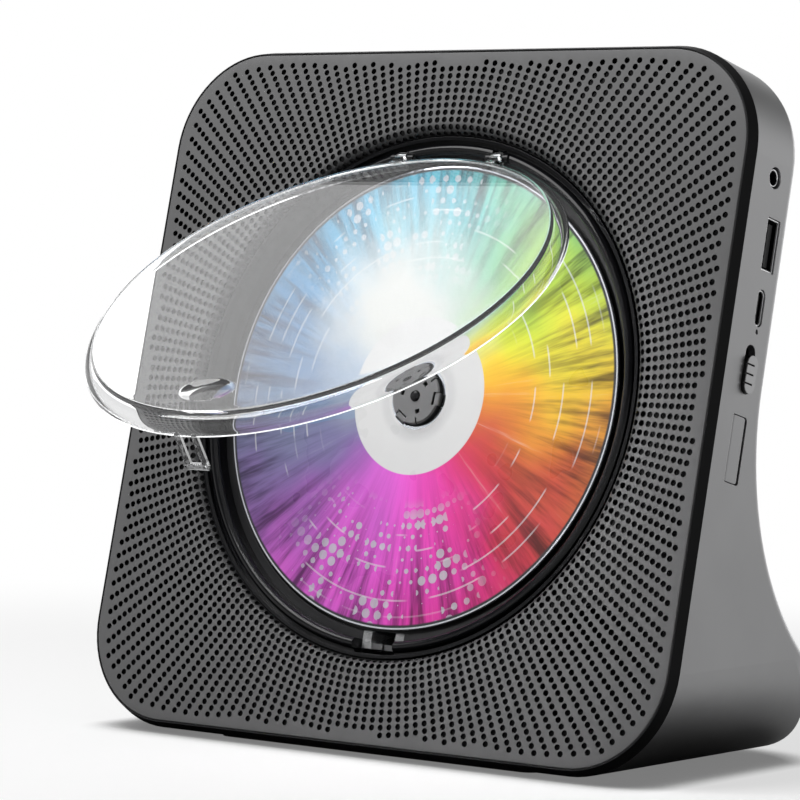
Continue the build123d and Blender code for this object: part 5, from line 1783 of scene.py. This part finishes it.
# ---- the whole player ------------------------------------------------------------------------------------
@dataclass
class Finishes:
    """Every finish of the player."""

    face: FaceFrame
    made: dict[str, bpy.types.Material] = field(default_factory=dict)

    def __post_init__(self) -> None:
        """Make them all."""
        for finish in (
            # the housing's edges lighten to twice its colour: wear and painted highlight
            Moulded("housing_lacquer", (0.30, 0.30, 0.304), 0.38, 0.10, 3000.0, 0.02, 0.8, specular=0.2,
                    edge=0.0003, wear_and_highlight_share=1.0),
            Moulded("trim_lacquer", (0.025, 0.025, 0.026), 0.36, 0.06, 3000.0, 0.03, specular=0.06, wear_and_highlight_share=0.4),
            GrillePaint("grille_paint", self.face, (0.145, 0.145, 0.147)),
            Moulded("gloss_black", (0.004, 0.004, 0.005), 0.10, 0.01, 1500.0, 0.02, specular=0.2, wear_and_highlight_share=0.1),
            Moulded("black_plastic", (0.008, 0.008, 0.009), 0.42, 0.2, specular=0.3),
            # painted shade: the hub dark below its face, the knob below its top, the sockets inside
            PaintedShadeBelow("hub_plastic", self.face, (0.125, 0.125, 0.127), (0.006, 0.006, 0.006), Axis.OUT, -3.75),
            PaintedShadeBelow("knob_plastic", self.face, (0.30, 0.30, 0.304), (0.006, 0.006, 0.006), Axis.RIGHT, 92.0,
                    0.8),
            PaintedShadeBelow("socket_shell", self.face, (0.75, 0.75, 0.76), (0.012, 0.012, 0.013), Axis.RIGHT, 90.35,
                    1.0),
            Moulded("catch_plastic", (0.09, 0.09, 0.093), 0.38, 0.2, specular=0.3),
            Moulded("button_plastic", (0.22, 0.22, 0.225), 0.38, 0.2, specular=0.3, wear_and_highlight_share=0.4),
            Moulded("rubber", (0.018, 0.018, 0.018), 0.75, 0.5, 1800.0, specular=0.3),
            Moulded("cone_paper", (0.012, 0.012, 0.013), 0.8, 0.6, 900.0, specular=0.2),
            Moulded("cell_sleeve", (0.03, 0.12, 0.32), 0.3, 0.05, 900.0, 0.04, coat=0.4),
            Moulded("chip_black", (0.015, 0.015, 0.016), 0.5, 0.3),
            Moulded("light_pipe", (0.75, 0.78, 0.8), 0.25, 0.05),
            Metal("plated_steel", (0.72, 0.72, 0.73), 0.2),
            Metal("plain_steel", (0.5, 0.5, 0.51), 0.32),
            Metal("blackened_steel", (0.03, 0.03, 0.032), 0.3),
            ClearPlastic("clear_lid"),
            ClearPlastic("clear_guides", (0.90, 0.92, 0.94), 0.25),
            DiscPrint("disc_ink", self.face),
            Silvered("disc_silver"),
            Board("solder_mask"),
        ):
            self.made[finish.name] = finish.make()
        LOG.info("finishes: %d", len(self.made))

    def __getitem__(self, name: str) -> bpy.types.Material:
        """Return the finish of that name."""
        return self.made[name]


FINISH_OF_NODE = {
    "body_shell": "housing_lacquer", "card_flap": "housing_lacquer", "front_trim": "trim_lacquer",
    "front_baffle": "black_plastic", "well_ring": "gloss_black", "disc_well": "black_plastic",
    "latch_housing": "black_plastic", "latch_guides": "clear_guides", "latch_shuttle": "catch_plastic",
    "dust_cover": "clear_lid", "lid_skirt": "clear_lid", "lid_hook": "clear_lid",
    "lid_hinge_pins": "plain_steel", "spindle_hub": "hub_plastic",
    "hub_pawl_1": "hub_plastic", "hub_pawl_2": "hub_plastic", "hub_pawl_3": "hub_plastic",
    "spindle_shaft": "gloss_black", "spindle_motor": "plain_steel", "mech_chassis": "plain_steel",
    "damper_grommets": "rubber", "inner_screws": "plated_steel", "laser_sled": "black_plastic",
    "laser_lens": "clear_lid", "guide_rods": "plated_steel", "lead_screw": "plain_steel",
    "sled_motor": "plain_steel", "speaker_baskets": "blackened_steel", "speaker_cones": "cone_paper",
    "speaker_magnets": "blackened_steel", "port_board": "solder_mask", "headphone_jack": "black_plastic",
    "usb_a_port": "socket_shell", "usb_c_port": "socket_shell", "status_light": "light_pipe",
    "power_switch_body": "black_plastic", "power_switch_knob": "knob_plastic", "card_socket": "plated_steel",
    "button_board": "solder_mask", "tact_switches": "plated_steel", "main_board": "solder_mask",
    "board_components": "chip_black", "battery_cell": "cell_sleeve", "front_foot": "rubber",
    "rear_foot": "rubber", "housing_screws": "blackened_steel",
}


def dress_nodes(nodes: dict[str, bpy.types.Object], finishes: Finishes) -> None:
    """Give every carried-over node its finish.

    Args:
        nodes: The nodes' objects by name.
        finishes: The finishes.
    """
    for name, node in nodes.items():
        finish = FINISH_OF_NODE.get(name, "button_plastic")
        finish_with(node, finishes[finish])
        LOG.info("%s: %s", name, finish)


def main() -> None:
    """Build the player, piece by piece."""
    logging.basicConfig(level=logging.INFO, format="%(message)s")
    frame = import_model()
    face = FaceFrame.from_joints(frame["joints"])
    finishes = Finishes(face)
    Studio().build()
    dress_nodes(frame["nodes"], finishes)
    Grille(face).build(finishes["grille_paint"], finishes["black_plastic"])
    Disc(face).build(finishes["disc_ink"], finishes["disc_silver"])
    Lid(face).build(finishes["clear_lid"])
    HousingScrews(face).build(finishes["blackened_steel"])
    ContactStrips(face).build(finishes["plated_steel"])
    JackRing(face).build(finishes["plated_steel"])
    SwitchKnob(face).build(finishes["knob_plastic"])
    Latch(face).build(frame["nodes"], finishes["clear_guides"], finishes["catch_plastic"])
    CardFlap(face).build(frame["nodes"]["card_flap"], finishes["housing_lacquer"])


if __name__ == "__main__":
    main()
